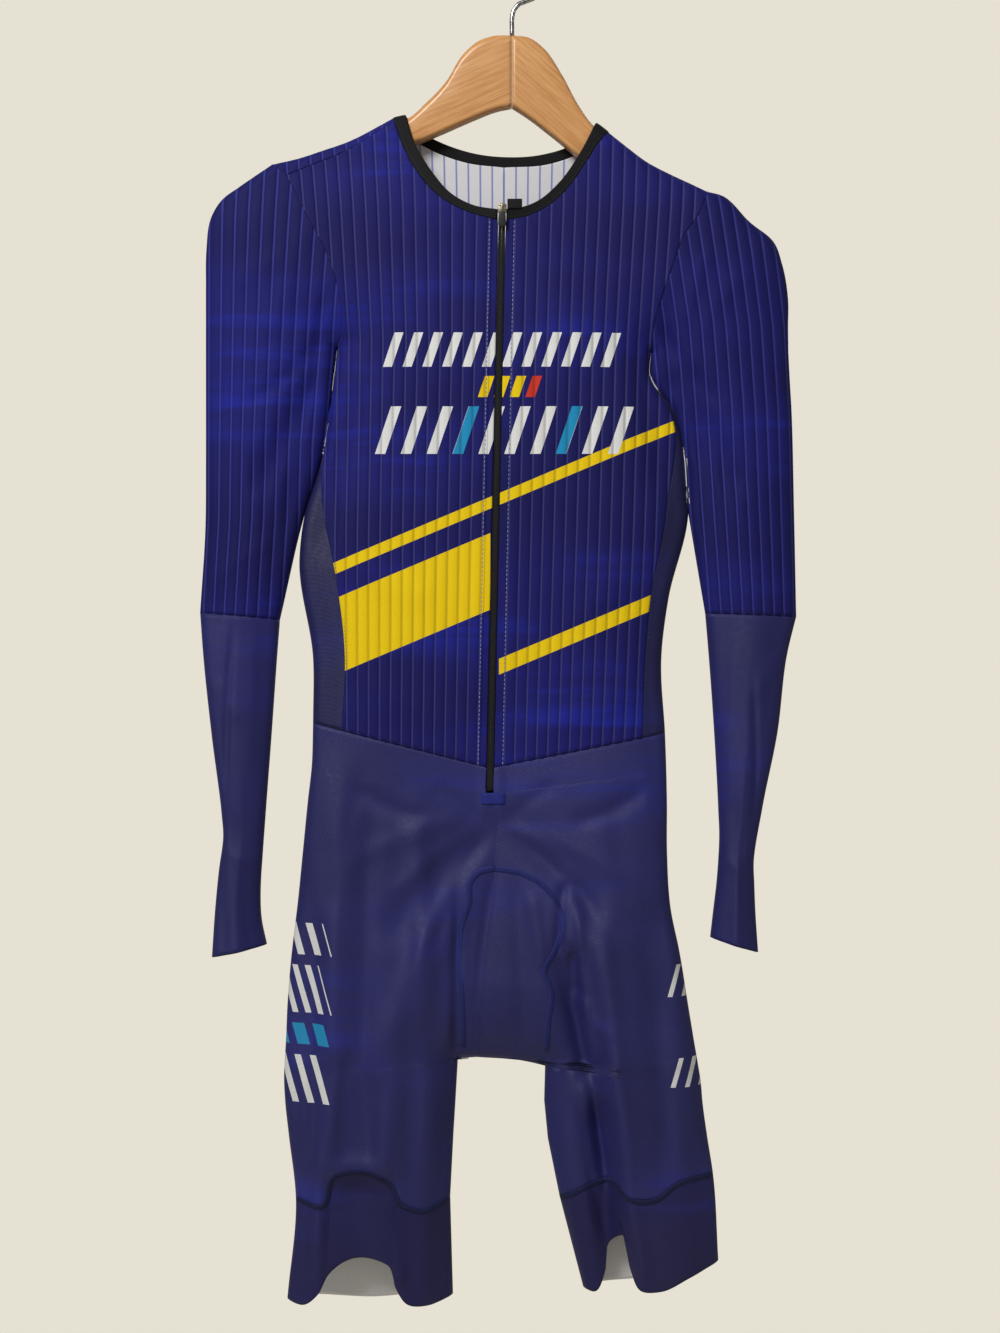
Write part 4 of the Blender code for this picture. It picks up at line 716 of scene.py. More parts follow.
# %% The two fronts
def front_panel(side, sign):
    """Rows: shoulder seam to the zip's top, then down the armhole and the side seam."""
    hole_at, neck_at = steps((1.0, 1.25, 1.5, 2.0, 2.5, 3.0, 3.5, 4.0),
                             (5.83, 5.6, 5.0, 4.0, 3.0, 2.0, 1.0, 0.0), count=36)
    start = curve(ARMHOLE[side], hole_at)[:, :2]
    end = curve(NECK_FRONT[side], neck_at)[:, 2:]
    low_hole, low_z = steps((4.0, 5.0, 6.0, 7.0), (end[-1, 1], -246.0, -280.0, -307.0), count=28)
    seam_end = (WAIST_SEAM_X[side], waist_front_z(WAIST_SEAM_X[side], side))
    seam, seam_at = body_side(side, seam_end)
    seam_z = np.interp(seam_at, np.arange(len(SIDE[side]) + 2),
                       [-307.0, *SIDE[side][:, 2], WAIST_FRONT[1] + SEAM_INSET])
    start = np.concatenate([start, curve(ARMHOLE[side], low_hole[1:])[:, :2], seam[1:]])
    centre_z = np.concatenate([low_z[1:], seam_z[1:]])
    centre = np.stack([zip_x(centre_z) + sign * ZIP_HALF, centre_z], axis=1)
    end = np.concatenate([end, centre])
    weight = np.zeros(len(start))
    weight[:len(hole_at)] = np.clip((2.2 - hole_at) / 1.2, 0.0, 1.0) ** 2
    x, z = span(start, end, off_chord(SHOULDER_SEAM[side]), weight, BODY_COLUMNS)
    z[0] -= SEAM_INSET
    z[-1] += SEAM_INSET
    rib = (sign * (x - zip_x(z)) - ZIP_PLAIN) / rib_pitch(z, sign)
    return shell(f"front_{side}", [(x, z, np.full(x.shape, -1.0), rib)], RIB_RISE, core=BODY_CORE)


# %% The back, in two halves that share the centre column
CENTRE_BACK = -6.0


def back_half(side):
    """A grid on the front sheet, from the shoulder seam to the fold, and one behind."""
    fold, seam = SHOULDER[side][::-1], SHOULDER_SEAM[side]
    up = 1.0 - np.cos(np.linspace(math.pi / 2.0, 0.0, 14))
    straight = fold[:1] + up[:, None] * (seam[:1] - fold[:1])
    end = fold[-1:] + up[:, None] * (seam[-1:] - fold[-1:])
    share_fold, share_seam = off_chord(fold), off_chord(seam)
    x0, z0 = span(straight, end, share_fold, 1.0 - up, BODY_COLUMNS)
    z0 = z0 + up[:, None] * share_seam((x0 - x0[:, :1]) / (x0[:, -1:] - x0[:, :1]))
    z0[0] += SEAM_INSET
    neck = NECK_BACK[:5, 2:] if side == "right" else NECK_BACK[:3:-1, 2:]
    near = 0.4 * np.linspace(0.0, 1.0, 12) ** 2
    hole_at = np.concatenate([near, np.linspace(0.4, 2.0, 34)[1:]])
    neck_at = np.interp(hole_at, (0.0, 0.12, 0.4, 1.0, 1.35, 1.7, 2.0),
                        (0.0, 0.1, 0.35, 1.0, 2.0, 3.0, 4.0))
    start, end = curve(ARMHOLE[side], hole_at)[:, :2], curve(neck, neck_at)
    weight = np.clip(1.0 - hole_at / 1.35, 0.0, 1.0) ** 1.5
    low_hole, low_z = steps((2.0, 3.0, 4.0, 5.0, 6.0, 7.0),
                            (end[-1, 1], -206.0, -236.0, -266.0, -289.0, -307.0), count=48)
    seam_end = (WAIST_SEAM_X[side], waist_back_z(WAIST_SEAM_X[side]))
    seam_at = np.linspace(0.0, len(SIDE[side]) + 1.0, 104)
    seam = curve(np.concatenate([ARMHOLE[side][-1:, :2], SIDE[side][:, 1:], [seam_end]]), seam_at)
    mean_z = (SIDE["right"][:, 2] + SIDE["left"][:, 2]) / 2.0
    seam_z = np.interp(seam_at, np.arange(len(SIDE[side]) + 2),
                       [-307.0, *mean_z, waist_back_z(CENTRE_BACK)])
    start = np.concatenate([start, curve(ARMHOLE[side], low_hole[1:])[:, :2], seam[1:]])
    centre_z = np.concatenate([low_z[1:], seam_z[1:]])
    end = np.concatenate([end, np.stack([np.full(len(centre_z), CENTRE_BACK), centre_z], axis=1)])
    weight = np.concatenate([weight, np.zeros(len(centre_z))])
    x1, z1 = span(start, end, share_fold, weight, BODY_COLUMNS)
    at_centre = np.arange(len(x1)) >= len(hole_at) - 1
    x1[at_centre, -1] = CENTRE_BACK
    z1[-1] += SEAM_INSET
    grids = []
    for x, z, sheet in ((x0, z0, -1.0), (x1, z1, 1.0)):
        rib = np.abs(x - CENTRE_BACK) / rib_pitch(z)
        grids.append((x, z, np.full(x.shape, sheet), rib))
    return grids


fronts = {side: front_panel(side, sign) for side, sign in SIDES}
back = shell("back", back_half("right") + back_half("left"), RIB_RISE, core=BODY_CORE)

# %% [markdown]
# ## Sleeves and side panels
#
# A sleeve is a flat tube.  Above the underarm its inner edge is the armhole seam, where
# it stays open; below, front and back meet in a fold.  Its ribs run straight down from
# the shoulder, so the top ones end on the fold, and they draw closer towards the elbow.

# %% Tubes with a front and a back that may end apart
def flat_tube(inner, edge, middle, back_inner=None, rib_at=None, bulges=None):
    """Grids of a flat tube.  back_inner is the inner line of the back where it differs,
    rib_at gives rib numbers from x and z, and bulges are (rise, weight) pairs, for front
    and back, of wavy rows."""
    grids = []
    for sheet, start in ((-1.0, inner), (1.0, inner if back_inner is None else back_inner)):
        width = np.linalg.norm(start - edge, axis=1)
        distance = tube_columns(width, middle)[:, ::-1]
        share = distance / np.maximum(width, 1e-9)[:, None]
        x = edge[:, :1] + share * (start[:, :1] - edge[:, :1])
        z = edge[:, 1:] + share * (start[:, 1:] - edge[:, 1:])
        if bulges is not None:
            for rise, weight in bulges[sheet]:
                z = z + weight[:, None] * rise(1.0 - share)
        rib = np.full(x.shape, -1.0) if rib_at is None else rib_at(x, z)
        flip = slice(None, None, -1 if sheet > 0 else 1)
        grids.append((x[:, flip], z[:, flip], np.full(x.shape, sheet), rib[:, flip]))
    return grids


# Columns: z, x that the ribs are counted from, pitch.
SLEEVE_RIBS = {"right": table((-520, -239, 8.4), (-436, -234.6, 8.6), (-380, -234.4, 8.8),
                              (-160, -234.4, 10.6)),
               "left": table((-520, 218, 7.9), (-432, 216, 8.5), (-350, 214, 8.9),
                             (-290, 210.5, 9.1), (-150, 194, 9.6))}


def upper_sleeve(side, sign):
    counted = SLEEVE_RIBS[side]

    def rib_at(x, z):
        start, pitch = (np.interp(z, counted[:, 0], counted[:, k]) for k in (1, 2))
        return np.maximum(sign * (start - x) / pitch + 0.65, 0.0)

    cap_at = np.concatenate([np.linspace(0.0, 1.0, 16) ** 1.5, np.linspace(1.0, 7.0, 64)[1:]])
    cap = curve(ARMHOLE[side], cap_at)
    arm = curve(UPPER_SLEEVE[side], dense(UPPER_SLEEVE[side]))[1:]
    rows = np.concatenate([cap, arm])
    rows[-1, [1, 3]] += SEAM_INSET
    inner = rows[:, :2].copy()
    inner[:len(cap), 0] += sign * SEAM_INSET
    inner[0, 0] = rows[0, 2]
    return shell(f"sleeve_top_{side}", flat_tube(inner, rows[:, 2:], 62, rib_at=rib_at),
                 RIB_RISE)


FOREARM_WALL, BAND_WALL = 0.8, 0.9


def lower_sleeve(side):
    rows = curve(LOWER_SLEEVE[side], dense(LOWER_SLEEVE[side], 2.5))
    rows[0, [1, 3]] -= SEAM_INSET
    return shell(f"forearm_{side}", flat_tube(rows[:, :2], rows[:, 2:], 22),
                 wall=FOREARM_WALL)


def side_panel(side, sign):
    """From the underarm to the waist, round the body's side fold."""
    at = dense(BODY_SIDE[side])
    at = at[at >= 1.0]
    edge = curve(BODY_SIDE[side], at)
    ends = []
    for waist_z in (waist_front_z(WAIST_SEAM_X[side], side), waist_back_z(WAIST_SEAM_X[side])):
        seam = np.concatenate([ARMHOLE[side][-1:, :2], SIDE[side][:, 1:],
                               [(WAIST_SEAM_X[side], waist_z + SEAM_INSET)]])
        line = curve(seam, at)
        line[:, 0] += sign * SEAM_INSET
        ends.append(line)
    edge[-1, 1] += SEAM_INSET
    return shell(f"side_{side}", flat_tube(ends[0], edge, 10, ends[1]))


sleeves = {side: upper_sleeve(side, sign) for side, sign in SIDES}
forearms = {side: lower_sleeve(side) for side, _ in SIDES}
side_panels = {side: side_panel(side, sign) for side, sign in SIDES}

# %% [markdown]
# ## Shorts and grip bands
#
# Each leg is one panel, from the centre front round the outer fold to the centre back.
# Above the crotch its two ends are the centre seams, and below it they meet along the
# inner leg.  The band's seam and hem are wavy because the leg hangs in deep folds.

# %% Lines of a leg by row number
ZIP_ROWS = 2
OUTER_LEG = {side: np.concatenate([LEG_PANEL[side][:, 2:4], BAND[side]["seam_back"][-1:],
                                   BAND[side]["hem_back"][-1:]]) for side, _ in SIDES}


def leg_line(side, at, first):
    """Centre seam above the crotch, as a smooth curve, and straight stretches below."""
    rows = np.concatenate([LEG_PANEL[side][:, first:first + 2], BAND[side]["seam_front"][:1],
                           BAND[side]["hem_front"][:1]])
    smooth = curve(rows[:CROTCH_ROW + 1], np.minimum(at, CROTCH_ROW))
    straight = np.stack([np.interp(at, np.arange(len(rows)), rows[:, k]) for k in (0, 1)], axis=1)
    return np.where((at <= CROTCH_ROW)[:, None], smooth, straight)


def shorts(side, sign):
    last = len(LEG_PANEL[side])
    at = dense(OUTER_LEG[side][:last + 1], 2.8)
    front, behind = leg_line(side, at, 0), leg_line(side, at, 4)
    above = np.where(at <= CROTCH_ROW, 1.0, 0.0)
    beside_zip = np.where(at < ZIP_ROWS - 0.8, ZIP_HALF, 0.0)
    front[:, 0] += sign * above * (SEAM_INSET + beside_zip)
    behind[:, 0] += sign * above * SEAM_INSET
    edge = curve(OUTER_LEG[side], at)
    for line in (front, behind, edge):
        line[0, 1] -= SEAM_INSET
        line[-1, 1] += SEAM_INSET
    weight = np.clip(at - (last - 1.0), 0.0, 1.0)
    bulges = {-1.0: [(off_chord(BAND[side]["seam_front"]), weight)],
              1.0: [(off_chord(BAND[side]["seam_back"]), weight)]}
    return shell(f"leg_{side}", flat_tube(front, edge, 62, behind, bulges=bulges))


def leg_band(side):
    last = len(LEG_PANEL[side])
    at = np.linspace(last, last + 1.0, 30)
    inner, edge = leg_line(side, at, 0), curve(OUTER_LEG[side], at)
    inner[0, 1] -= SEAM_INSET
    edge[0, 1] -= SEAM_INSET
    down = at - last
    band = BAND[side]
    bulges = {-1.0: [(off_chord(band["seam_front"]), 1.0 - down),
                     (off_chord(band["hem_front"]), down)],
              1.0: [(off_chord(band["seam_back"]), 1.0 - down),
                    (off_chord(band["hem_back"]), down)]}
    return shell(f"grip_band_{side}", flat_tube(inner, edge, 62, bulges=bulges), wall=BAND_WALL)


legs = {side: shorts(side, sign) for side, sign in SIDES}
bands = {side: leg_band(side) for side, _ in SIDES}
print("a leg's panel has", ZIP_ROWS, "rows beside the zip and", CROTCH_ROW, "above the crotch")

# %% [markdown]
# ## Bindings, bands and thread
#
# Binding, zip tape and flat seams are ribbons: a closed profile carried along a line on
# the cloth.  Thread is a short spindle, copied along a line as one joined mesh; a curve
# with a dash pattern would be lighter, but real stitches catch the light one by one.

# %% A closed profile carried along a line
def closed_tube(name, rings):
    """Mesh through rings of points (rings, points round each, 3), ends capped."""
    count, around = rings.shape[:2]
    index = np.arange(count * around).reshape(count, around)
    following = np.roll(index, -1, axis=1)
    quads = np.stack([index[:-1], index[1:], following[1:], following[:-1]], axis=-1)
    ends = np.concatenate([index[0], index[-1][::-1]])
    loops = np.concatenate([quads.reshape(-1), ends])
    counts = np.array([4] * ((count - 1) * around) + [around, around])
    run = np.stack([lengths(rings, 1), lengths(rings, 0)], axis=-1)
    uv = run.reshape(-1, 2)[loops]
    a, b, c = (rings.reshape(-1, 3)[quads.reshape(-1, 4)[:, k]] for k in (0, 1, 3))
    centre = rings.mean(axis=1)[:-1].repeat(around, axis=0)
    if (np.cross(b - a, c - a) * (a - centre)).sum() < 0.0:
        order = turned_round(counts)
        loops, uv = loops[order], uv[order]
    return new_object(name, rings.reshape(-1, 3), loops, counts, np.zeros(len(counts)), uv)


def across(x, z):
    """Unit direction square to a line in the front view."""
    dx, dz = np.gradient(x), np.gradient(z)
    length = np.maximum(np.hypot(dx, dz), 1e-9)
    return -dz / length, dx / length


def even(path, spacing):
    """Points at an even spacing along a path of front-view points."""
    run = np.concatenate([[0.0], np.cumsum(np.linalg.norm(np.diff(path, axis=0), axis=1))])
    at = np.linspace(0.0, run[-1], max(2, int(run[-1] / spacing)) + 1)
    return np.interp(at, run, path[:, 0]), np.interp(at, run, path[:, 1])


def ribbon(name, path, sheet, half_width, rise, sink, around=12, spacing=3.0):
    """Flat band on the cloth.  Round its profile by the angle a: half width times cos a
    across, and rise or sink times sin a out of the cloth."""
    x, z = even(path, spacing)
    side_x, side_z = across(x, z)
    angle = np.linspace(0.0, 2.0 * math.pi, around, endpoint=False)
    u = half_width * np.sign(np.cos(angle)) * np.abs(np.cos(angle)) ** 0.6
    up = np.sin(angle)
    lift = np.where(up > 0, rise, sink) * np.abs(up) ** 0.7 * np.sign(up)
    rings = cloth(x[:, None] + u * side_x[:, None], z[:, None] + u * side_z[:, None], sheet,
                  np.broadcast_to(lift, (len(x), around)))
    return closed_tube(name, rings)


# %% Thread
def stitches(name, paths, length, gap, thick, lift=0.25, zigzag=0.0):
    """Spindles along paths (points, sheet), each turned to lie along its line, or across
    it by the zigzag's half width."""
    turn = np.linspace(0.0, 2.0 * math.pi, 6, endpoint=False)
    along = np.array([-0.5, -0.32, 0.32, 0.5])
    fat = np.array([0.3, 1.0, 1.0, 0.3]) * thick / 2.0
    places = []
    for path, sheet in paths:
        x, z = even(path, length + gap)
        side_x, side_z = across(x, z)
        sway = zigzag * np.where(np.arange(len(x)) % 2 == 0, 1.0, -1.0)
        middle = cloth(x, z, sheet, lift)
        tip_x = side_z * length / 2.0 + side_x * sway
        tip_z = -side_x * length / 2.0 + side_z * sway
        tip = cloth(x + tip_x, z + tip_z, sheet, lift)
        tail = cloth(x - tip_x, z - tip_z, sheet, lift)
        run = tip - tail
        size = np.maximum(np.linalg.norm(run, axis=1, keepdims=True), 1e-7)
        run = run / size
        out = np.cross(run, np.array([0.0, 1.0, 0.0]))
        out = out / np.maximum(np.linalg.norm(out, axis=1, keepdims=True), 1e-7)
        up = np.cross(out, run)
        rim = np.cos(turn)[:, None, None] * out + np.sin(turn)[:, None, None] * up
        spindle = (middle[None, None] + along[:, None, None, None] * (run * size)[None, None]
                   + fat[:, None, None, None] * MM * rim[None])
        places.append(spindle.transpose(2, 0, 1, 3).reshape(-1, 3))
    places = np.concatenate(places)
    number = len(places) // 24
    index = np.arange(24).reshape(4, 6)
    following = np.roll(index, -1, axis=1)
    sides = np.stack([index[:-1], following[:-1], following[1:], index[1:]], axis=-1).reshape(-1)
    one = np.concatenate([sides, index[0][::-1], index[-1]])
    loops = (one[None] + 24 * np.arange(number)[:, None]).reshape(-1)
    counts = np.tile([4] * 18 + [6, 6], number)
    made = new_object(name, places, loops, counts, np.zeros(len(counts)))
    print(name, number, "stitches")
    return made


# %% The neck's binding
def neck_binding():
    """A folded tape round the neck: its profile is a flat oval between the neck's edge
    and the line where it is sewn down, carried front, back, front."""
    close = np.sin(np.linspace(0.0, math.pi / 2.0, 10))
    front_at = np.concatenate([np.linspace(0.0, 5.0, 44)[:-1], 5.0 + close])
    back_at = np.concatenate([1.0 - close[::-1], np.linspace(1.0, 7.0, 60)[1:], 7.0 + close[1:]])
    right = curve(NECK_FRONT["right"], front_at)
    behind = curve(NECK_BACK, back_at)[1:-1]
    left = curve(NECK_FRONT["left"], front_at)[::-1]
    path = np.concatenate([right, behind, left])
    sheet = np.concatenate([-np.ones(len(right)), np.ones(len(behind)), -np.ones(len(left))])
    angle = np.linspace(0.0, 2.0 * math.pi, 20, endpoint=False)
    cos, sin = np.cos(angle), np.sin(angle)
    share = 0.5 - 0.5 * np.sign(cos) * np.abs(cos) ** 0.55
    lift = -0.3 + 1.05 * np.sign(sin) * np.abs(sin) ** 0.6
    x = path[:, [0]] + share * (path[:, [2]] - path[:, [0]])
    z = path[:, [1]] + share * (path[:, [3]] - path[:, [1]])
    rings = cloth(x, z, np.repeat(sheet[:, None], len(angle), axis=1),
                  np.broadcast_to(lift, x.shape))
    return closed_tube("neck_tape", rings)


binding = neck_binding()
print("neck binding", triangles_in(binding), "triangles")

# %% [markdown]
# ## The zip
#
# The zip is a reversed coil: two tapes meet over the hidden coil, with a groove between
# them.  The coil's turns show as fine ridges.  The slider is a cast body with a bridge,
# and the rubber pull hangs in front of it on its own body of the model, so it can swing.

# %% Tape and coil
def zip_line(start_z, end_z, offset, count=150):
    z = np.linspace(start_z, end_z, count)
    return np.stack([zip_x(z) + offset, z], axis=1)


COIL_PITCH = 1.4
tapes = [ribbon(f"zip_tape_{side}", zip_line(-202.0, -643.0, sign * 1.32), -1.0, 1.18, 0.45, 1.1)
         for side, sign in SIDES]
coil = stitches("zip_coil", [(zip_line(-203.0, -642.0, 0.0), -1.0)], 0.55, COIL_PITCH - 0.55,
                0.9, 0.1, 1.25)


# %% Solid small parts
def rounded(name, outline, y_front, y_back, bevel, body="garment"):
    """A plate cut to a front-view outline, in millimetres, with rounded edges."""
    maker = bmesh.new()
    front = [maker.verts.new((x * MM, y_front * MM, z * MM)) for x, z in outline]
    face = maker.faces.new(front)
    made = bmesh.ops.extrude_face_region(maker, geom=[face])
    moved = [item for item in made["geom"] if isinstance(item, bmesh.types.BMVert)]
    bmesh.ops.translate(maker, vec=(0.0, (y_back - y_front) * MM, 0.0), verts=moved)
    bmesh.ops.recalc_face_normals(maker, faces=maker.faces)
    bmesh.ops.bevel(maker, geom=maker.edges[:], offset=bevel * MM, segments=3, profile=0.5,
                    affect="EDGES", clamp_overlap=True)
    mesh = bpy.data.meshes.new(name)
    maker.to_mesh(mesh)
    maker.free()
    mesh.shade_smooth()
    return placed(name, mesh, body)


def join(name, parts):
    """Several meshes as one object."""
    maker = bmesh.new()
    for part in parts:
        maker.from_mesh(part.data)
        bpy.data.objects.remove(part, do_unlink=True)
    mesh = bpy.data.meshes.new(name)
    maker.to_mesh(mesh)
    maker.free()
    return placed(name, mesh)


def oval(middle_x, middle_z, half_x, half_z, power, count=28):
    """A rounded rectangle: cosine and sine, each raised to a power under one."""
    angle = np.linspace(0.0, 2.0 * math.pi, count, endpoint=False)
    cos, sin = np.cos(angle), np.sin(angle)
    x = middle_x + half_x * np.sign(cos) * np.abs(cos) ** power
    z = middle_z + half_z * np.sign(sin) * np.abs(sin) ** power
    return list(zip(x.tolist(), z.tolist()))


# %% Slider and pull
low, high = (np.array(corner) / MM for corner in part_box("zip_slider"))
tab_low, tab_high = (np.array(corner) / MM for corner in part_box("zip_pull_tab"))
middle_x, middle_z = (low[0] + high[0]) / 2.0, (low[2] + high[2]) / 2.0
slider = join("slider", [
    rounded("slider_body", oval(middle_x, middle_z, 3.4, 4.3, 0.6),
            low[1] + 0.7, high[1], 0.4),
    rounded("slider_bridge", oval(middle_x, middle_z + 0.4, 1.0, 2.9, 0.7),
            low[1], low[1] + 0.9, 0.3),
    rounded("slider_rim", oval(middle_x, middle_z + 2.6, 2.9, 1.0, 0.7),
            low[1] + 0.35, low[1] + 0.9, 0.2),
])
tab_x = (tab_low[0] + tab_high[0]) / 2.0
tab_outline = [(tab_x - 2.0, tab_high[2]), (tab_x + 2.0, tab_high[2]),
               (tab_x + 2.7, tab_high[2] - 3.2), (tab_x + 3.1, tab_low[2] + 1.6),
               (tab_x + 2.2, tab_low[2]), (tab_x - 2.2, tab_low[2]),
               (tab_x - 3.1, tab_low[2] + 1.6), (tab_x - 2.7, tab_high[2] - 3.2)]
pull = rounded("pull_tab", tab_outline, tab_low[1] + 0.15, tab_high[1], 0.55, "pull_tab")
grips = [rounded(f"grip_{k}", oval(tab_x, tab_low[2] + 2.2 + 1.5 * k, 1.9, 0.42, 0.6, 16),
                 tab_low[1], tab_low[1] + 0.5, 0.12, "pull_tab") for k in range(3)]
print("slider", np.round(high - low, 2), "mm")


# %% The guard at the top of the zip, and the patch at its foot
def patch(name, x_range, z_range, lift, thick, count=14):
    """A small piece of cloth with rounded edges, lying on the front.  x_range holds two
    numbers, or two functions of z."""
    u = np.sin(np.linspace(-math.pi / 2.0, math.pi / 2.0, count))
    z = (z_range[0] + z_range[1]) / 2.0 + u[:, None] * (z_range[1] - z_range[0]) / 2.0
    left, right = (end(z) if callable(end) else end for end in x_range)
    x, z = np.broadcast_arrays((left + right) / 2.0 + u[None, :] * (right - left) / 2.0, z)
    edge = (1.0 - np.minimum(1.0, u[None, :] ** 8)) * (1.0 - np.minimum(1.0, u[:, None] ** 8))
    top, under = cloth(x, z, -1.0, lift + thick * np.sqrt(edge)), cloth(x, z, -1.0, lift - 0.05)
    index = np.arange(count * count).reshape(count, count)
    quads = grid_quads(index)
    rim = np.concatenate([index[0, :-1], index[:-1, -1], index[-1, :0:-1], index[:0:-1, 0]])
    ahead = np.roll(rim, -1)
    sides = np.stack([ahead, rim, rim + count**2, ahead + count**2], axis=1)
    faces = np.concatenate([quads, quads[:, ::-1] + count**2, sides])
    places = np.concatenate([top.reshape(-1, 3), under.reshape(-1, 3)])
    a, b, c = places[quads[:, 0]], places[quads[:, 1]], places[quads[:, 2]]
    if np.cross(b - a, c - a)[:, 1].sum() > 0.0:
        faces = faces[:, ::-1]
    uv = np.stack([x, z], axis=-1).reshape(-1, 2) * MM
    uv = np.concatenate([uv, uv])[faces.reshape(-1)]
    return new_object(name, places, faces.reshape(-1), np.full(len(faces), 4),
                      np.zeros(len(faces)), uv)


guard = patch("zip_guard", (-3.6, 7.6), (-202.0, -194.0), 0.8, 1.2)
foot = patch("zip_foot", (-23.6, -5.4), (-653.2, -644.6), 0.3, 1.0)
print("patches of", triangles_in(guard), "triangles")

# %% [markdown]
# ## Seams
#
# A flat seam on stretch cloth is sewn with several needles: a low cord with thread
# crossing it.  The leg bands' seams and the seat pad's outline are such cords.  The
# others show as one or two rows of small stitches beside the join.

# %% Lines to sew along
def beside(path, offset):
    """A line moved sideways in the front view."""
    x, z = even(path, 2.0)
    side_x, side_z = across(x, z)
    return np.stack([x + offset * side_x, z + offset * side_z], axis=1)


def cut(path, start, end):
    """The part of a line between two shares of its length."""
    x, z = even(path, 1.0)
    keep = slice(int(start * len(x)), int(end * len(x)))
    return np.stack([x[keep], z[keep]], axis=1)


# The seat pad's sewn outline, from the centre top down each side.
PAD_SIDE = {
    "right": table((-13.0, -701.8), (-24.5, -704.1), (-31.4, -711.0), (-32.2, -726.4),
                   (-38.3, -744.0), (-40.6, -768.0), (-38.0, -800.0), (-37.0, -838.0)),
    "left": table((-13.0, -701.8), (5.4, -704.9), (20.7, -712.5), (32.2, -724.8),
                  (37.5, -742.3), (33.7, -760.7), (24.5, -780.6), (29.9, -793.6),
                  (27.5, -815.0), (26.0, -840.0)),
}
pad_lines = [curve(PAD_SIDE[side], dense(PAD_SIDE[side])) for side, _ in SIDES]
band_lines = [(curve(BAND[side][f"seam_{face}"], dense(BAND[side][f"seam_{face}"], 1.5)), sheet)
              for side, _ in SIDES for face, sheet in (("front", -1.0), ("back", 1.0))]
pad_cords = [ribbon(f"pad_seam_{k}", line, -1.0, 2.1, 0.8, 0.4) for k, line in enumerate(pad_lines)]
band_cords = [ribbon(f"band_seam_{k}", cut(line, 0.01, 0.99), sheet, 1.9, 0.75, 0.5)
              for k, (line, sheet) in enumerate(band_lines)]
cord_thread = stitches("flat_seam_thread",
                       [(line, -1.0) for line in pad_lines]
                       + [(cut(line, 0.02, 0.98), sheet) for line, sheet in band_lines],
                       0.9, 0.35, 0.42, 0.85, 1.5)

# %% The seat pad, behind the front
PAD_THICK, PAD_DEEP = 4.0, -6.2


def pad_side(side, inset):
    rows = PAD_SIDE[side][1:][::-1]
    return lambda z: np.interp(z, rows[:, 1], rows[:, 0]) + inset


pad = patch("seat_pad", (pad_side("right", 3.0), pad_side("left", -3.0)), (-834.0, -705.5),
            PAD_DEEP, PAD_THICK, 40)

# %% Stitches beside the joins
zip_thread = stitches("zip_topstitch", [(zip_line(-212.0, -622.0, offset), -1.0)
                                        for offset in (-9.3, 9.3)], 2.3, 1.0, 0.5)
join_lines, waist_lines = [], []
for side, sign in SIDES:
    armhole = curve(ARMHOLE[side], np.linspace(1.1, 6.9, 80))[:, :2]
    seam_end = (WAIST_SEAM_X[side], waist_front_z(WAIST_SEAM_X[side], side))
    side_seam = cut(body_side(side, seam_end)[0], 0.28, 0.99)
    shoulder = cut(curve(SHOULDER_SEAM[side], dense(SHOULDER_SEAM[side])), 0.03, 0.97)
    elbow = np.array([UPPER_SLEEVE[side][-1, :2], UPPER_SLEEVE[side][-1, 2:]])
    for sheet in (-1.0, 1.0):
        join_lines += [(beside(armhole, 1.3), sheet), (beside(side_seam, 1.3), sheet),
                       (cut(beside(elbow, 1.2), 0.05, 0.95), sheet)]
    join_lines.append((beside(shoulder, 1.2), -1.0))
    front_waist = np.array([[WAIST_SEAM_X[side], waist_front_z(WAIST_SEAM_X[side], side)],
                            [WAIST_FRONT[0] + sign * 6.0,
                             waist_front_z(WAIST_FRONT[0] + sign * 6.0, side)]])
    waist_lines += [(front_waist + [0.0, -1.5], -1.0), (front_waist + [0.0, 1.5], -1.0)]
back_waist = np.array([(x, waist_back_z(x)) for x in (-144.0, 110.0)])
waist_lines += [(back_waist + [0.0, dz], 1.0) for dz in (-1.5, 1.5)]
front_seam = table((-13.0, -656.0), (-13.0, -691.0), (-16.1, -730.0), (-20.5, -768.0),
                   (-26.0, -835.0))
waist_lines += [(beside(front_seam, offset), -1.0) for offset in (-2.0, 2.0)]
join_thread = stitches("join_stitches", join_lines, 1.9, 0.9, 0.34, 0.12)
waist_thread = stitches("waist_stitches", waist_lines, 1.9, 0.9, 0.34, 0.12)
tape_rows = [curve(NECK_FRONT[side], np.linspace(0.1, 5.6, 90)) for side, _ in SIDES]
tape_thread = stitches("binding_stitches",
                       [(rows[:, 2:] * 0.78 + rows[:, :2] * 0.22, -1.0) for rows in tape_rows],
                       1.8, 0.8, 0.4, 0.62)

# %% [markdown]
# ## The hanger
#
# Two laminated arms meet in a mitre under the hook.  Each is a loft: a section that is
# round on top and softened below, carried along the arm on smooth lines.  The hook is
# plated wire, swept round its crook.

# %% The wooden arms
WOOD_CLEARANCE = 0.6
WOOD_HALF = EDGE_DEPTH - WALL - WOOD_CLEARANCE
WOOD_TOP_ROUND = EDGE_RADIUS - WALL - WOOD_CLEARANCE
WOOD_LOWER_ROUND = 3.0
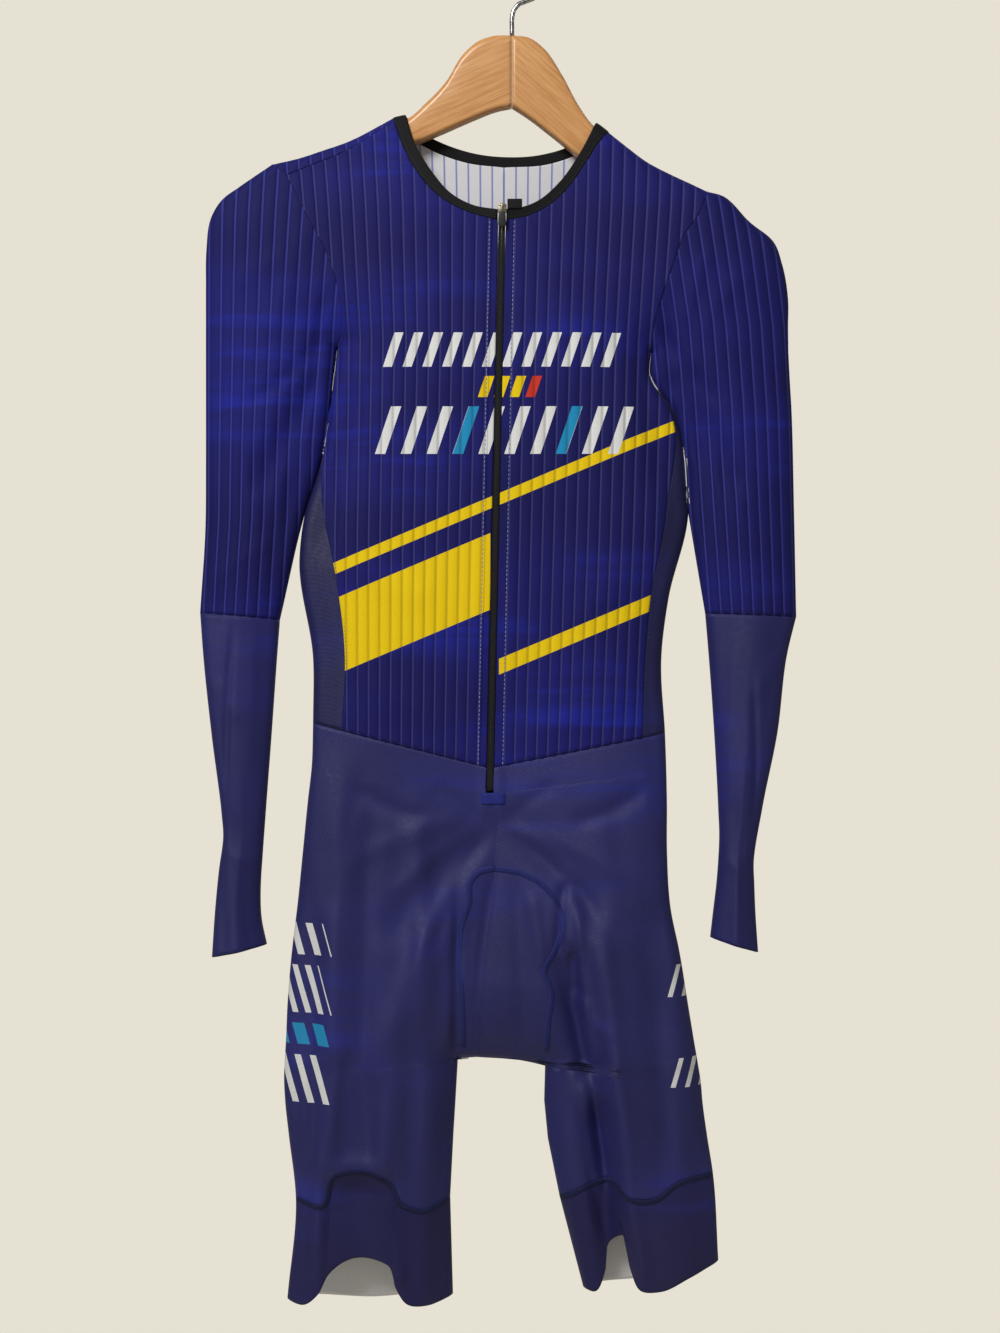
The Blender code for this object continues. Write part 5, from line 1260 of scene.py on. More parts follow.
# Columns: x, top z, lower z.  The arms stay 0.15 mm clear of the mitre on both sides.
WOOD_NECK = {
    "right": table((-0.15, -65.9, -121.0), (-12.3, -66.0, -123.6), (-25.3, -69.9, -128.6),
                   (-37.5, -80.4, -133.8), (-50.6, -101.4, -139.6), (-65.9, -117.6, -146.2),
                   (-80.5, -129.6, -152.6)),
    "left": table((0.15, -65.9, -121.0), (13.0, -67.6, -129.4), (26.0, -77.4, -139.4),
                  (38.3, -95.8, -149.2), (51.3, -119.8, -159.6), (63.0, -135.4, -165.5)),
}
WOOD_HEIGHT = table((0, 29.0), (2, 28.0), (5, 26.0), (6, 24.0), (8, 19.0))


def arm_lines(side):
    """Top and lower line of an arm: its own outline at the neck, then a fixed way below
    the shoulder's fold."""
    tops = WOOD_NECK[side][:, [0, 1]]
    lowers = WOOD_NECK[side][:, [0, 2]]
    fold = np.concatenate([SHOULDER[side], ARMHOLE[side][1:4, 2:]])
    _, dir_x, dir_z = from_outline(fold[:, 0] * 0.985, fold[:, 1] - 4.0)
    inward = np.stack([dir_x, dir_z], axis=1)
    clear = WALL + WOOD_CLEARANCE + np.where(np.arange(len(fold)) == 0, 0.6, 0.1)[:, None]
    top = fold + inward * clear
    height = np.interp(np.arange(len(fold)), WOOD_HEIGHT[:, 0], WOOD_HEIGHT[:, 1])[:, None]
    return np.concatenate([tops, top]), np.concatenate([lowers, top + inward * height])


def wood_arm(side):
    """Section by the angle a: half thickness sin a, with the top's rise 1 - cos a, then
    straight sides and a softened lower edge."""
    top, lower = arm_lines(side)
    both = np.concatenate([top, lower], axis=1)
    at = dense(both, 2.5)
    line = curve(both, at)
    top, lower = line[:, :2], line[:, 2:]
    height = np.linalg.norm(lower - top, axis=1, keepdims=True)
    down = (lower - top) / height
    turn = np.linspace(0.0, math.pi / 2.0, 9)
    low = turn[1:]
    depth = np.concatenate([WOOD_TOP_ROUND * (1.0 - np.cos(turn)), np.zeros(1)])
    half = np.concatenate([WOOD_HALF * np.sin(turn), [WOOD_HALF]])
    depth = np.repeat(depth[None], len(top), axis=0)
    depth[:, -1:] = height - WOOD_LOWER_ROUND
    corner = height - WOOD_LOWER_ROUND * (1.0 - np.sin(low))[None]
    depth = np.concatenate([depth, corner], axis=1)
    half = np.concatenate([half, WOOD_HALF - WOOD_LOWER_ROUND * (1.0 - np.cos(low))])
    thin = 1.0 - 0.25 * np.clip((at - at[-1] + 1.5) / 1.5, 0.0, 1.0)[:, None]
    y = half[None] * thin
    depth = np.concatenate([depth, depth[:, :0:-1]], axis=1)
    y = np.concatenate([-y, y[:, :0:-1]], axis=1)
    x = top[:, :1] + down[:, :1] * depth
    z = top[:, 1:] + down[:, 1:] * depth
    return closed_tube(f"arm_{side}", np.stack([x, y, z], axis=-1) * MM)


arms = {side: wood_arm(side) for side, _ in SIDES}
print("wood", round(2.0 * WOOD_HALF, 1), "mm thick")

# %% The hook
WIRE_RADIUS, HOOK_RADIUS = 1.8, 23.0
WOOD_PEAK = -66.06
hook_rows = table((0.0, WOOD_PEAK + 0.3), (0.0, -60.0), (0.1, -52.0), (1.4, -46.5), (5.2, -41.6))
crook = np.radians(np.arange(-45.0, 206.0, 6.0))
crook = np.stack([HOOK_RADIUS * np.cos(crook),
                  WIRE_RADIUS - HOOK_RADIUS + HOOK_RADIUS * np.sin(crook)], axis=1)
hook_line = np.concatenate([curve(hook_rows, dense(hook_rows, 1.5)), crook])
hook_x, hook_z = even(hook_line, 1.5)
side_x, side_z = across(hook_x, hook_z)
turn = np.linspace(0.0, 2.0 * math.pi, 16, endpoint=False)
tip = np.minimum(1.0, np.sqrt(np.maximum(0.04, np.arange(len(hook_x))[::-1] / 2.5)))[:, None]
reach = WIRE_RADIUS * tip * np.cos(turn)
hook_rings = np.stack([hook_x[:, None] + reach * side_x[:, None],
                       WIRE_RADIUS * tip * np.sin(turn),
                       hook_z[:, None] + reach * side_z[:, None]], axis=-1) * MM
hook = closed_tube("hook", hook_rings)
print("hook wire", 2.0 * WIRE_RADIUS, "mm thick")

# %% [markdown]
# ## Finishes
#
# Each effect that several cloths share is a node group with named inputs: the lines
# between ribs, the fine knit, the soft brush strokes of the print, and rows of slanted
# bars.  The shader itself stays in each material, so that its plain values, such as
# sheen, are set on its own sockets.

# %% Small helpers for nodes
def put(tree, kind, inputs=(), out=0, **settings):
    """Add a node, set its settings, set or link its inputs, and give one output."""
    node = tree.nodes.new("ShaderNode" + kind)
    for key, value in settings.items():
        setattr(node, key, value)
    for key, value in dict(inputs).items():
        if isinstance(value, bpy.types.NodeSocket):
            tree.links.new(value, node.inputs[key])
        else:
            node.inputs[key].default_value = value
    return node.outputs[out]


def calc(tree, operation, a, b=0.0, c=0.0):
    return put(tree, "Math", {0: a, 1: b, 2: c}, operation=operation)


def soft_step(tree, value, low, high, to_low=0.0, to_high=1.0):
    return put(tree, "MapRange", {0: value, 1: low, 2: high, 3: to_low, 4: to_high},
               interpolation_type="SMOOTHSTEP")


def mix(tree, factor, a, b):
    return put(tree, "Mix", {0: factor, 6: a, 7: b}, out=2, data_type="RGBA")


def start_group(name, inputs, outputs):
    """A node group with named sockets; inputs are (name, kind, value)."""
    tree = bpy.data.node_groups.new(name, "ShaderNodeTree")
    for socket, kind, value in inputs:
        made = tree.interface.new_socket(socket, in_out="INPUT", socket_type="NodeSocket" + kind)
        if value is not None:
            made.default_value = value
    for socket, kind in outputs:
        tree.interface.new_socket(socket, in_out="OUTPUT", socket_type="NodeSocket" + kind)
    return tree, tree.nodes.new("NodeGroupInput").outputs, tree.nodes.new("NodeGroupOutput").inputs


def use(tree, group, **inputs):
    """Place a group, set or link its inputs by name, and give its outputs."""
    node = tree.nodes.new("ShaderNodeGroup")
    node.node_tree = group
    for key, value in inputs.items():
        socket = node.inputs[key.replace("_", " ")]
        if isinstance(value, bpy.types.NodeSocket):
            tree.links.new(value, socket)
        else:
            socket.default_value = value
    return node.outputs


# %% Lines between ribs
def rib_group():
    """Distance to the nearest whole rib number, in ribs, turned into a thin line and into
    the round of the rib."""
    tree, given, result = start_group("rib lines", (("Rib", "Float", 0.0), ("Width", "Float", 0.1)),
                                      (("Line", "Float"), ("Height", "Float")))
    apart = calc(tree, "PINGPONG", calc(tree, "ADD", given["Rib"], 40.0), 0.5)
    shown = soft_step(tree, given["Rib"], -0.35, -0.2)
    line = soft_step(tree, apart, calc(tree, "MULTIPLY", given["Width"], 0.35), given["Width"],
                     1.0, 0.0)
    tree.links.new(calc(tree, "MULTIPLY", line, shown), result["Line"])
    tree.links.new(calc(tree, "MULTIPLY", soft_step(tree, apart, 0.0, 0.22), shown),
                   result["Height"])
    return tree


# %% Fine knit
def knit_group():
    """Two crossed waves on the cloth's own map: rows of loops a fraction of a millimetre
    apart, leaning by the slant."""
    tree, given, result = start_group(
        "fine knit", (("Map", "Vector", None), ("Pitch", "Float", 0.0009), ("Slant", "Float", 0.6)),
        (("Height", "Float"), ("Tint", "Float")))
    parts = tree.nodes.new("ShaderNodeSeparateXYZ")
    tree.links.new(given["Map"], parts.inputs[0])
    turns = calc(tree, "DIVIDE", 6.2832, given["Pitch"])
    lean = calc(tree, "MULTIPLY_ADD", parts.outputs[1], given["Slant"], parts.outputs[0])
    one = calc(tree, "SINE", calc(tree, "MULTIPLY", lean, turns))
    other = calc(tree, "SINE", calc(tree, "MULTIPLY", parts.outputs[1], turns))
    both = calc(tree, "MULTIPLY_ADD", calc(tree, "ADD", one, other), 0.25, 0.5)
    grain = put(tree, "TexNoise", {"Vector": given["Map"], "Scale": 900.0, "Detail": 2.0})
    tree.links.new(calc(tree, "MULTIPLY_ADD", grain, 0.3, both), result["Height"])
    tree.links.new(both, result["Tint"])
    return tree


# %% Soft brush strokes
def stroke_group():
    """Noise drawn out sideways and a little upwards, kept where it is strongest."""
    tree, given, result = start_group("brush strokes", (("Place", "Vector", None),
                                                        ("Amount", "Float", 0.5)),
                                      (("Stroke", "Float"), ("Cloud", "Float")))
    turned = put(tree, "Mapping", {0: given["Place"], 2: (0.0, 0.2, 0.0), 3: (5.0, 5.0, 46.0)})
    fine = put(tree, "TexNoise", {"Vector": turned, "Scale": 1.0, "Detail": 5.0, "Roughness": 0.62})
    wide = put(tree, "Mapping", {0: given["Place"], 2: (0.0, 0.25, 0.0), 3: (4.0, 4.0, 11.0)})
    cloud = put(tree, "TexNoise", {"Vector": wide, "Scale": 1.0, "Detail": 2.0})
    patchy = soft_step(tree, cloud, 0.48, 0.66)
    stroke = calc(tree, "MULTIPLY", soft_step(tree, fine, 0.45, 0.68), patchy)
    tree.links.new(calc(tree, "MULTIPLY", stroke, given["Amount"]), result["Stroke"])
    tree.links.new(soft_step(tree, cloud, 0.35, 0.65), result["Cloud"])
    return tree


# %% Rows of slanted bars
def bar_group():
    """Bars between two heights and two sides.  A point's place along the row is x plus
    the lean times z; its fraction of the pitch decides whether it lies in a bar."""
    tree, given, result = start_group(
        "slanted bars",
        (("Place", "Vector", None), ("Left", "Float", 0.0), ("Right", "Float", 0.0),
         ("Low", "Float", 0.0), ("High", "Float", 0.0), ("Pitch", "Float", 0.02),
         ("Share", "Float", 0.5), ("Lean", "Float", -0.3), ("Front", "Float", 1.0)),
        (("Bar", "Float"),))
    parts = tree.nodes.new("ShaderNodeSeparateXYZ")
    tree.links.new(given["Place"], parts.inputs[0])
    x, y, z = parts.outputs
    height = calc(tree, "SUBTRACT", z, given["Low"])
    row = calc(tree, "MULTIPLY_ADD", height, given["Lean"], x)
    part = calc(tree, "FRACT", calc(tree, "DIVIDE", calc(tree, "SUBTRACT", row, given["Left"]),
                                    given["Pitch"]))
    bar = calc(tree, "LESS_THAN", part, given["Share"])
    for value, low, high in ((row, given["Left"], given["Right"]),
                             (z, given["Low"], given["High"])):
        bar = calc(tree, "MULTIPLY", bar, calc(tree, "GREATER_THAN", value, low))
        bar = calc(tree, "MULTIPLY", bar, calc(tree, "LESS_THAN", value, high))
    behind = calc(tree, "MULTIPLY", calc(tree, "GREATER_THAN", y, 0.0), given["Front"])
    tree.links.new(calc(tree, "MULTIPLY", bar, calc(tree, "SUBTRACT", 1.0, behind)), result["Bar"])
    return tree


ribs, knit, strokes, bars = rib_group(), knit_group(), stroke_group(), bar_group()
print("node groups:", ", ".join(group.name for group in (ribs, knit, strokes, bars)))


# %% A material's beginning and end
def start_material(name):
    made = bpy.data.materials.new(name)
    made.use_nodes = True
    tree = made.node_tree
    tree.nodes.clear()
    shader = tree.nodes.new("ShaderNodeBsdfPrincipled")
    output = tree.nodes.new("ShaderNodeOutputMaterial")
    tree.links.new(shader.outputs[0], output.inputs[0])
    return made, tree, shader.inputs


def connect(tree, shader, **values):
    """Set or link sockets of the shader by name."""
    for key, value in values.items():
        socket = shader[key.replace("_", " ")]
        if isinstance(value, bpy.types.NodeSocket):
            tree.links.new(value, socket)
        else:
            socket.default_value = value


def bump(tree, height, distance, strength=1.0, normal=None):
    inputs = {"Height": height, "Distance": distance, "Strength": strength}
    if normal is not None:
        inputs["Normal"] = normal
    return put(tree, "Bump", inputs)


def shade(red, green, blue):
    """Linear colour from the 0 to 255 values of a screen."""
    def linear(value):
        value /= 255.0
        return value / 12.92 if value <= 0.04045 else ((value + 0.055) / 1.055) ** 2.4
    return (linear(red), linear(green), linear(blue), 1.0)


NAVY, DEEP_NAVY = shade(25, 25, 112), shade(19, 19, 90)
ROYAL = shade(28, 42, 176)
RIB_LINE = shade(62, 68, 160)
SMOOTH_NAVY = shade(39, 41, 114)
YELLOW, WHITE = shade(250, 214, 8), shade(236, 238, 240)
CYAN, RED = shade(30, 150, 205), shade(214, 58, 40)
print("navy in linear values", np.round(NAVY[:3], 4))


# %% Printed bars and bands of the front
CHEST_BARS = (
    # colour, left, right, low, high, pitch, share, lean, in metres
    (WHITE, -0.098, 0.082, -0.322, -0.296, 0.0150, 0.46, -0.34),
    (WHITE, -0.104, 0.092, -0.388, -0.352, 0.0196, 0.40, -0.34),
    (CYAN, -0.045, -0.026, -0.388, -0.352, 0.0196, 0.40, -0.34),
    (CYAN, 0.033, 0.052, -0.388, -0.352, 0.0196, 0.40, -0.34),
    (YELLOW, -0.026, 0.010, -0.345, -0.329, 0.0120, 0.60, -0.34),
    (RED, 0.010, 0.020, -0.345, -0.329, 0.0120, 0.60, -0.34),
)
LEG_BARS = (
    (WHITE, -0.1760, -0.136, -0.768, -0.744, 0.0130, 0.42, 0.3),
    (WHITE, -0.1770, -0.136, -0.812, -0.776, 0.0100, 0.45, 0.3),
    (CYAN, -0.1790, -0.138, -0.836, -0.820, 0.0160, 0.60, 0.3),
    (WHITE, -0.1790, -0.138, -0.880, -0.844, 0.0120, 0.42, 0.3),
    (WHITE, 0.118, 0.150, -0.800, -0.776, 0.0110, 0.34, -0.3),
    (WHITE, 0.120, 0.152, -0.868, -0.846, 0.0110, 0.34, -0.3),
)


def printed(tree, colour, place, rows, front=1.0):
    """Lay rows of bars over a colour."""
    for ink, left, right, low, high, pitch, part, lean in rows:
        bar = use(tree, bars, Place=place, Left=left, Right=right, Low=low, High=high,
                  Pitch=pitch, Share=part, Lean=lean, Front=front)[0]
        colour = mix(tree, bar, colour, ink)
    return colour


def diagonal(tree, colour, place, middle_z, slope, half, left, right, ink):
    """A straight band of ink: how far z lies from a sloping line, against half its width."""
    parts = put(tree, "SeparateXYZ", {0: place})
    x, y, z = parts.node.outputs
    line = calc(tree, "MULTIPLY_ADD", x, slope, middle_z)
    inside = calc(tree, "LESS_THAN", calc(tree, "ABSOLUTE", calc(tree, "SUBTRACT", z, line)), half)
    for value, limit, kind in ((x, left, "GREATER_THAN"), (x, right, "LESS_THAN"),
                               (y, 0.0, "LESS_THAN")):
        inside = calc(tree, "MULTIPLY", inside, calc(tree, kind, value, limit))
    return mix(tree, inside, colour, ink)


# %% Ribbed cloth
def ribbed_material(name="ribbed cloth", with_print=True):
    made, tree, shader = start_material(name)
    place = put(tree, "TexCoord", out=3)
    uv = put(tree, "UVMap", uv_map="cloth")
    rib = put(tree, "Attribute", out=2, attribute_name="rib")
    line = use(tree, ribs, Rib=rib, Width=0.105)
    weave = use(tree, knit, Map=uv, Pitch=0.0011, Slant=0.0)
    stroke = use(tree, strokes, Place=place, Amount=0.55)
    base = mix(tree, stroke["Cloud"], DEEP_NAVY, NAVY)
    base = mix(tree, stroke["Stroke"], base, ROYAL)
    base = mix(tree, calc(tree, "MULTIPLY", line["Line"], 0.6), base, RIB_LINE)
    if with_print:
        base = diagonal(tree, base, place, -0.470, 0.42, 0.0290, -0.2, -0.0165, YELLOW)
        base = diagonal(tree, base, place, -0.418, 0.42, 0.0045, -0.2, 0.2, YELLOW)
        base = diagonal(tree, base, place, -0.545, 0.42, 0.0060, -0.010, 0.2, YELLOW)
        base = printed(tree, base, place, CHEST_BARS)
        base = mix(tree, calc(tree, "MULTIPLY", line["Line"], 0.3), base, shade(70, 60, 40))
    base = mix(tree, calc(tree, "MULTIPLY", weave["Tint"], 0.10), base, (0.0, 0.0, 0.01, 1.0))
    normal = bump(tree, line["Height"], 0.0006, 0.9)
    normal = bump(tree, weave["Height"], 0.00012, 0.5, normal)
    connect(tree, shader, Base_Color=base, Normal=normal, Roughness=0.72)
    connect(tree, shader, Sheen_Weight=0.04, Sheen_Roughness=0.45, Specular_IOR_Level=0.2)
    return made


# %% Smooth cloth
def smooth_material(name, base_colour, amount, rows=(), pitch=0.0010, slant=0.8, roughness=0.52):
    made, tree, shader = start_material(name)
    place = put(tree, "TexCoord", out=3)
    uv = put(tree, "UVMap", uv_map="cloth")
    weave = use(tree, knit, Map=uv, Pitch=pitch, Slant=slant)
    stroke = use(tree, strokes, Place=place, Amount=amount)
    dark = tuple(value * 0.78 for value in base_colour[:3]) + (1.0,)
    base = mix(tree, stroke["Cloud"], dark, base_colour)
    base = mix(tree, stroke["Stroke"], base, ROYAL)
    base = printed(tree, base, place, rows, 0.0)
    base = mix(tree, calc(tree, "MULTIPLY", weave["Tint"], 0.22), base, (0.004, 0.004, 0.02, 1.0))
    normal = bump(tree, weave["Height"], 0.00022, 0.6)
    grain = put(tree, "TexNoise", {"Vector": uv, "Scale": 240.0, "Detail": 3.0})
    connect(tree, shader, Base_Color=base, Normal=normal,
            Roughness=soft_step(tree, grain, 0.3, 0.7, roughness - 0.05, roughness + 0.07))
    connect(tree, shader, Sheen_Weight=0.05, Sheen_Roughness=0.4, Specular_IOR_Level=0.4)
    return made


# %% Linings: white inside, with the ribs' lines on the ribbed pieces
def lining_material(name, lined):
    made, tree, shader = start_material(name)
    uv = put(tree, "UVMap", uv_map="cloth")
    weave = use(tree, knit, Map=uv, Pitch=0.0012, Slant=0.5)
    base = mix(tree, weave["Tint"], shade(214, 214, 220), shade(234, 234, 238))
    if lined:
        rib = put(tree, "Attribute", out=2, attribute_name="rib")
        line = use(tree, ribs, Rib=rib, Width=0.11)
        base = mix(tree, calc(tree, "MULTIPLY", line["Line"], 0.8), base, shade(96, 112, 200))
    else:
        dots = put(tree, "TexVoronoi", {"Vector": uv, "Scale": 420.0, "Randomness": 0.0})
        dot = soft_step(tree, dots, 0.16, 0.26, 1.0, 0.0)
        base = mix(tree, calc(tree, "MULTIPLY", dot, 0.4), base, shade(190, 190, 200))
    connect(tree, shader, Base_Color=base, Roughness=0.75,
            Normal=bump(tree, weave["Height"], 0.0002, 0.5))
    return made


# %% Tape, thread and rubber
def plain_material(name, dark, light, roughness, scale, height, metallic=0.0, coat=0.0):
    """Two near shades mixed by a fine noise, with the same noise as relief."""
    made, tree, shader = start_material(name)
    place = put(tree, "TexCoord", out=3)
    grain = put(tree, "TexNoise", {"Vector": place, "Scale": scale, "Detail": 4.0})
    base = mix(tree, soft_step(tree, grain, 0.35, 0.65), dark, light)
    worn = soft_step(tree, grain, 0.3, 0.7, roughness * 0.9, min(1.0, roughness * 1.12))
    connect(tree, shader, Base_Color=base, Roughness=worn, Metallic=metallic,
            Normal=bump(tree, grain, height, 0.6), Coat_Weight=coat)
    return made


def tape_material(name, dark, light, pitch):
    """Ribbed elastic tape: bars across its run, on its own map."""
    made, tree, shader = start_material(name)
    uv = put(tree, "UVMap", uv_map="cloth")
    weave = use(tree, knit, Map=uv, Pitch=pitch, Slant=0.0)
    base = mix(tree, weave["Tint"], dark, light)
    connect(tree, shader, Base_Color=base, Roughness=0.7, Sheen_Weight=0.03,
            Normal=bump(tree, weave["Height"], 0.0003, 0.7), Specular_IOR_Level=0.22)
    return made


# %% Wood
def wood_material(name, tilt):
    """Laminated strips along the arm: the strip number shifts the tone, stretched noise
    draws the grain, and a few thin scratches cross it."""
    made, tree, shader = start_material(name)
    place = put(tree, "TexCoord", out=3)
    turned = put(tree, "Mapping", {0: place, 2: (0.0, tilt, 0.0)})
    z = put(tree, "SeparateXYZ", {0: turned}, out=2)
    strip = calc(tree, "FLOOR", calc(tree, "DIVIDE", z, 0.0165))
    tone = put(tree, "TexWhiteNoise", {"W": strip}, noise_dimensions="1D")
    seam = calc(tree, "PINGPONG", calc(tree, "DIVIDE", z, 0.0165), 0.5)
    long = put(tree, "Mapping", {0: turned, 3: (26.0, 300.0, 420.0)})
    grain = put(tree, "TexNoise", {"Vector": long, "Scale": 1.0, "Detail": 6.0, "Roughness": 0.6})
    fleck = put(tree, "Mapping", {0: turned, 3: (120.0, 900.0, 1500.0)})
    fine = put(tree, "TexNoise", {"Vector": fleck, "Scale": 1.0, "Detail": 3.0})
    base = mix(tree, soft_step(tree, grain, 0.3, 0.7), shade(201, 142, 86), shade(226, 172, 112))
    base = mix(tree, calc(tree, "MULTIPLY", tone, 0.35), base, shade(190, 126, 70))
    base = mix(tree, calc(tree, "MULTIPLY", soft_step(tree, fine, 0.55, 0.75), 0.3), base,
               shade(168, 106, 58))
    base = mix(tree, soft_step(tree, seam, 0.0, 0.02, 0.35, 0.0), base, shade(140, 84, 44))
    scratch = put(tree, "Mapping", {0: turned, 2: (0.0, 1.1, 0.0), 3: (16.0, 60.0, 900.0)})
    mark = put(tree, "TexNoise", {"Vector": scratch, "Scale": 1.0, "Detail": 1.0})
    mark = soft_step(tree, mark, 0.74, 0.78)
    base = mix(tree, calc(tree, "MULTIPLY", mark, 0.5), base, shade(244, 214, 168))
    connect(tree, shader, Base_Color=base, Roughness=soft_step(tree, grain, 0.3, 0.7, 0.3, 0.42),
            Normal=bump(tree, grain, 0.00025, 0.35), Coat_Weight=0.25, Coat_Roughness=0.22)
    return made


# %% Dress the pieces
cloth_ribbed = ribbed_material()
cloth_back = ribbed_material("ribbed cloth behind", False)
cloth_smooth = smooth_material("smooth cloth", SMOOTH_NAVY, 0.35, LEG_BARS)
# The side panels get a darker navy than the other smooth cloth: partly their own colour, partly
# painted shade of their sideways turn.
side_cloth_darkened_for_shade = smooth_material("side cloth with painted shade", shade(26, 27, 88), 0.15)
cloth_arm = smooth_material("forearm cloth", shade(34, 35, 112), 0.5, pitch=0.0007)
cloth_band = smooth_material("grip band cloth", shade(27, 25, 92), 0.4, pitch=0.0008)
lining_ribbed = lining_material("ribbed lining", True)
lining_smooth = lining_material("smooth lining", False)
black_tape = tape_material("black binding", shade(9, 9, 11), shade(22, 22, 25), 0.0013)
zip_cloth = tape_material("zip tape", shade(10, 10, 12), shade(26, 26, 30), 0.0009)
dark_cord = tape_material("flat seam cord", shade(16, 22, 62), shade(30, 38, 92), 0.0011)
pad_cord = tape_material("pad seam cord", shade(30, 38, 112), shade(48, 56, 140), 0.0011)
navy_thread, light_thread, dark_thread = (
    plain_material(name, dark, light, 0.6, 2200.0, 0.0001) for name, dark, light in (
        ("navy thread", shade(34, 36, 96), shade(58, 62, 140)),
        ("light thread", shade(120, 128, 196), shade(176, 182, 226)),
        ("dark thread", shade(12, 14, 34), shade(26, 34, 76))))
cast_metal = plain_material("cast metal", shade(150, 142, 126), shade(196, 188, 170),
                            0.3, 900.0, 0.00004, 1.0)
plated_wire = plain_material("plated wire", shade(150, 150, 152), shade(205, 205, 208),
                             0.22, 400.0, 0.00003, 1.0)
soft_rubber = plain_material("soft rubber", shade(14, 15, 18), shade(34, 36, 42),
                             0.62, 1400.0, 0.0001)
pad_foam = tape_material("seat pad", shade(206, 206, 214), shade(226, 226, 232), 0.0016)
patch_cloth = tape_material("patch", shade(28, 34, 112), shade(44, 52, 146), 0.0010)
wood_right = wood_material("wood of the right arm", 0.42)
wood_left = wood_material("wood of the left arm", -0.72)


def dress(piece, slot, *materials):
    """Give a piece its materials; clearing the list resets the faces' numbers, so they
    are kept and set again."""
    faces = piece.data.polygons
    numbers = np.zeros(len(faces), np.int32)
    faces.foreach_get("material_index", numbers)
    piece.data.materials.clear()
    for finish in materials:
        piece.data.materials.append(finish)
    faces.foreach_set("material_index", numbers)


for side, _ in SIDES:
    dress(fronts[side], "ribbed_cloth", cloth_ribbed, lining_ribbed)
    dress(sleeves[side], "ribbed_cloth", cloth_back, lining_ribbed)
    dress(forearms[side], "smooth_cloth", cloth_arm, lining_smooth)
    dress(side_panels[side], "smooth_cloth", side_cloth_darkened_for_shade, lining_smooth)
    dress(legs[side], "smooth_cloth", cloth_smooth, lining_smooth)
    dress(bands[side], "smooth_cloth", cloth_band, lining_smooth)
dress(back, "ribbed_cloth", cloth_back, lining_ribbed)
dress(binding, "binding", black_tape)
for pieces, slot, finish in (
        (tapes, "zip_tape", zip_cloth), ([coil], "zip_tape", soft_rubber),
        ([slider], "zip_metal", cast_metal), ([pull, *grips], "rubber", soft_rubber),
        ([guard], "binding", black_tape), ([foot], "patch", patch_cloth),
        (pad_cords, "smooth_cloth", pad_cord), (band_cords, "smooth_cloth", dark_cord),
        ([cord_thread], "smooth_cloth", dark_thread),
        ([zip_thread], "smooth_cloth", light_thread),
        ([join_thread, waist_thread], "smooth_cloth", navy_thread),
        ([tape_thread], "binding", dark_thread), ([arms["right"]], "wood", wood_right),
        ([arms["left"]], "wood", wood_left), ([hook], "steel", plated_wire),
        ([pad], "pad", pad_foam)):
    for piece in pieces:
        dress(piece, slot, finish)
print(len(bpy.data.materials), "finishes")

# %% Hide the model's parts that the pieces replace
for side, _ in SIDES:
    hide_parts(f"front_panel_{side}")
    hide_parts(f"sleeve_upper_{side}")
    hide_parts(f"sleeve_lower_{side}")
    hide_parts(f"side_panel_{side}")
    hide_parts(f"shorts_{side}")
    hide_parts(f"leg_band_{side}")
    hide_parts(f"hanger_arm_{side}")
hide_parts("back_panel")
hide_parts("neck_binding")
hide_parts("zip_strip")
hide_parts("zip_slider")
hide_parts("zip_pull_tab")
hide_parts("zip_garage")
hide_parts("zip_end_patch")
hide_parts("hanger_hook")
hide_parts("chamois_pad")

# %% [markdown]
# ## Studio
#
# A pale floor, soft light from the upper left and a level camera, as the photograph has.

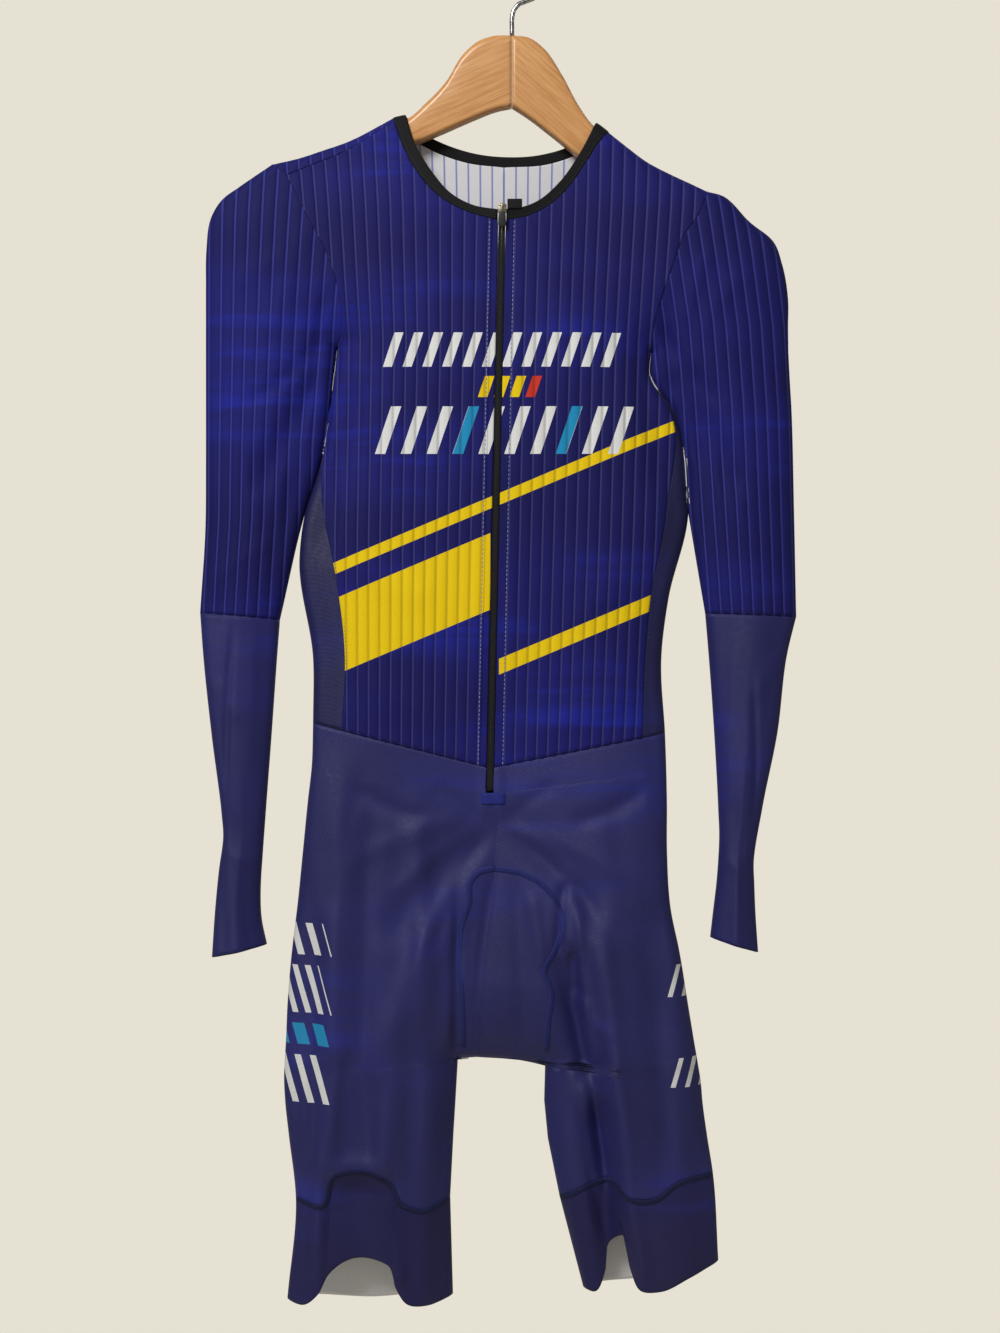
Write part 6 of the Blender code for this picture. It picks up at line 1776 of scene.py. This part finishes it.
# %% Floor, lights and world
def floor(depth=-1.42, half=1.0):
    mesh = bpy.data.meshes.new("floor")
    corners = [(-half, -half, depth), (half, -half, depth),
               (half, half, depth), (-half, half, depth)]
    mesh.from_pydata(corners, [], [(0, 1, 2, 3)])
    made = bpy.data.objects.new("floor", mesh)
    bpy.context.scene.collection.objects.link(made)
    mesh.materials.append(plain_material("pale floor", shade(226, 221, 208), shade(232, 227, 215),
                                         0.8, 8.0, 0.0005))


def lamp(name, place, aim, size, power, colour=(1.0, 0.97, 0.92)):
    data = bpy.data.lights.new(name, "AREA")
    data.shape, data.size, data.size_y = "RECTANGLE", size, size
    data.energy, data.color = power, colour
    made = bpy.data.objects.new(name, data)
    made.location = place
    made.rotation_euler = (Vector(aim) - Vector(place)).to_track_quat("-Z", "Y").to_euler()
    bpy.context.scene.collection.objects.link(made)


floor()
lamp("window", (-1.0, -1.7, 1.1), (0.0, 0.0, -0.55), 0.8, 50.0, (1.0, 0.985, 0.96))
lamp("room", (1.9, -1.5, -0.2), (0.0, 0.0, -0.6), 1.6, 4.0)
lamp("behind", (0.4, 2.2, 0.6), (0.0, 0.0, -0.5), 1.8, 14.0)
world = bpy.data.worlds.new("pale room")
bpy.context.scene.world = world
world.use_nodes = True
backdrop = world.node_tree.nodes["Background"]
backdrop.inputs["Color"].default_value = shade(230, 225, 211)
seen = put(world.node_tree, "LightPath")
backdrop_strength = put(world.node_tree, "MapRange", {0: seen, 3: 0.22, 4: 1.0})
world.node_tree.links.new(backdrop_strength, backdrop.inputs["Strength"])
bpy.context.scene.view_settings.view_transform = "Standard"
print(len(bpy.data.lights), "lamps and a pale world")

# %% Camera, level with the middle of the garment
CAMERA_AWAY, HALF_HEIGHT, MIDDLE_X, MIDDLE_Z = 1.55, 0.5105, -0.0092, -0.549
camera = bpy.data.cameras.new("camera")
camera.sensor_width = 36.0
camera.lens = 18.0 * CAMERA_AWAY / HALF_HEIGHT
camera_object = bpy.data.objects.new("camera", camera)
camera_object.location = (MIDDLE_X, -CAMERA_AWAY, MIDDLE_Z)
camera_object.rotation_euler = (math.pi / 2.0, 0.0, 0.0)
bpy.context.scene.collection.objects.link(camera_object)
bpy.context.scene.camera = camera_object
print("camera", CAMERA_AWAY, "m in front, lens", round(camera.lens, 1), "mm")
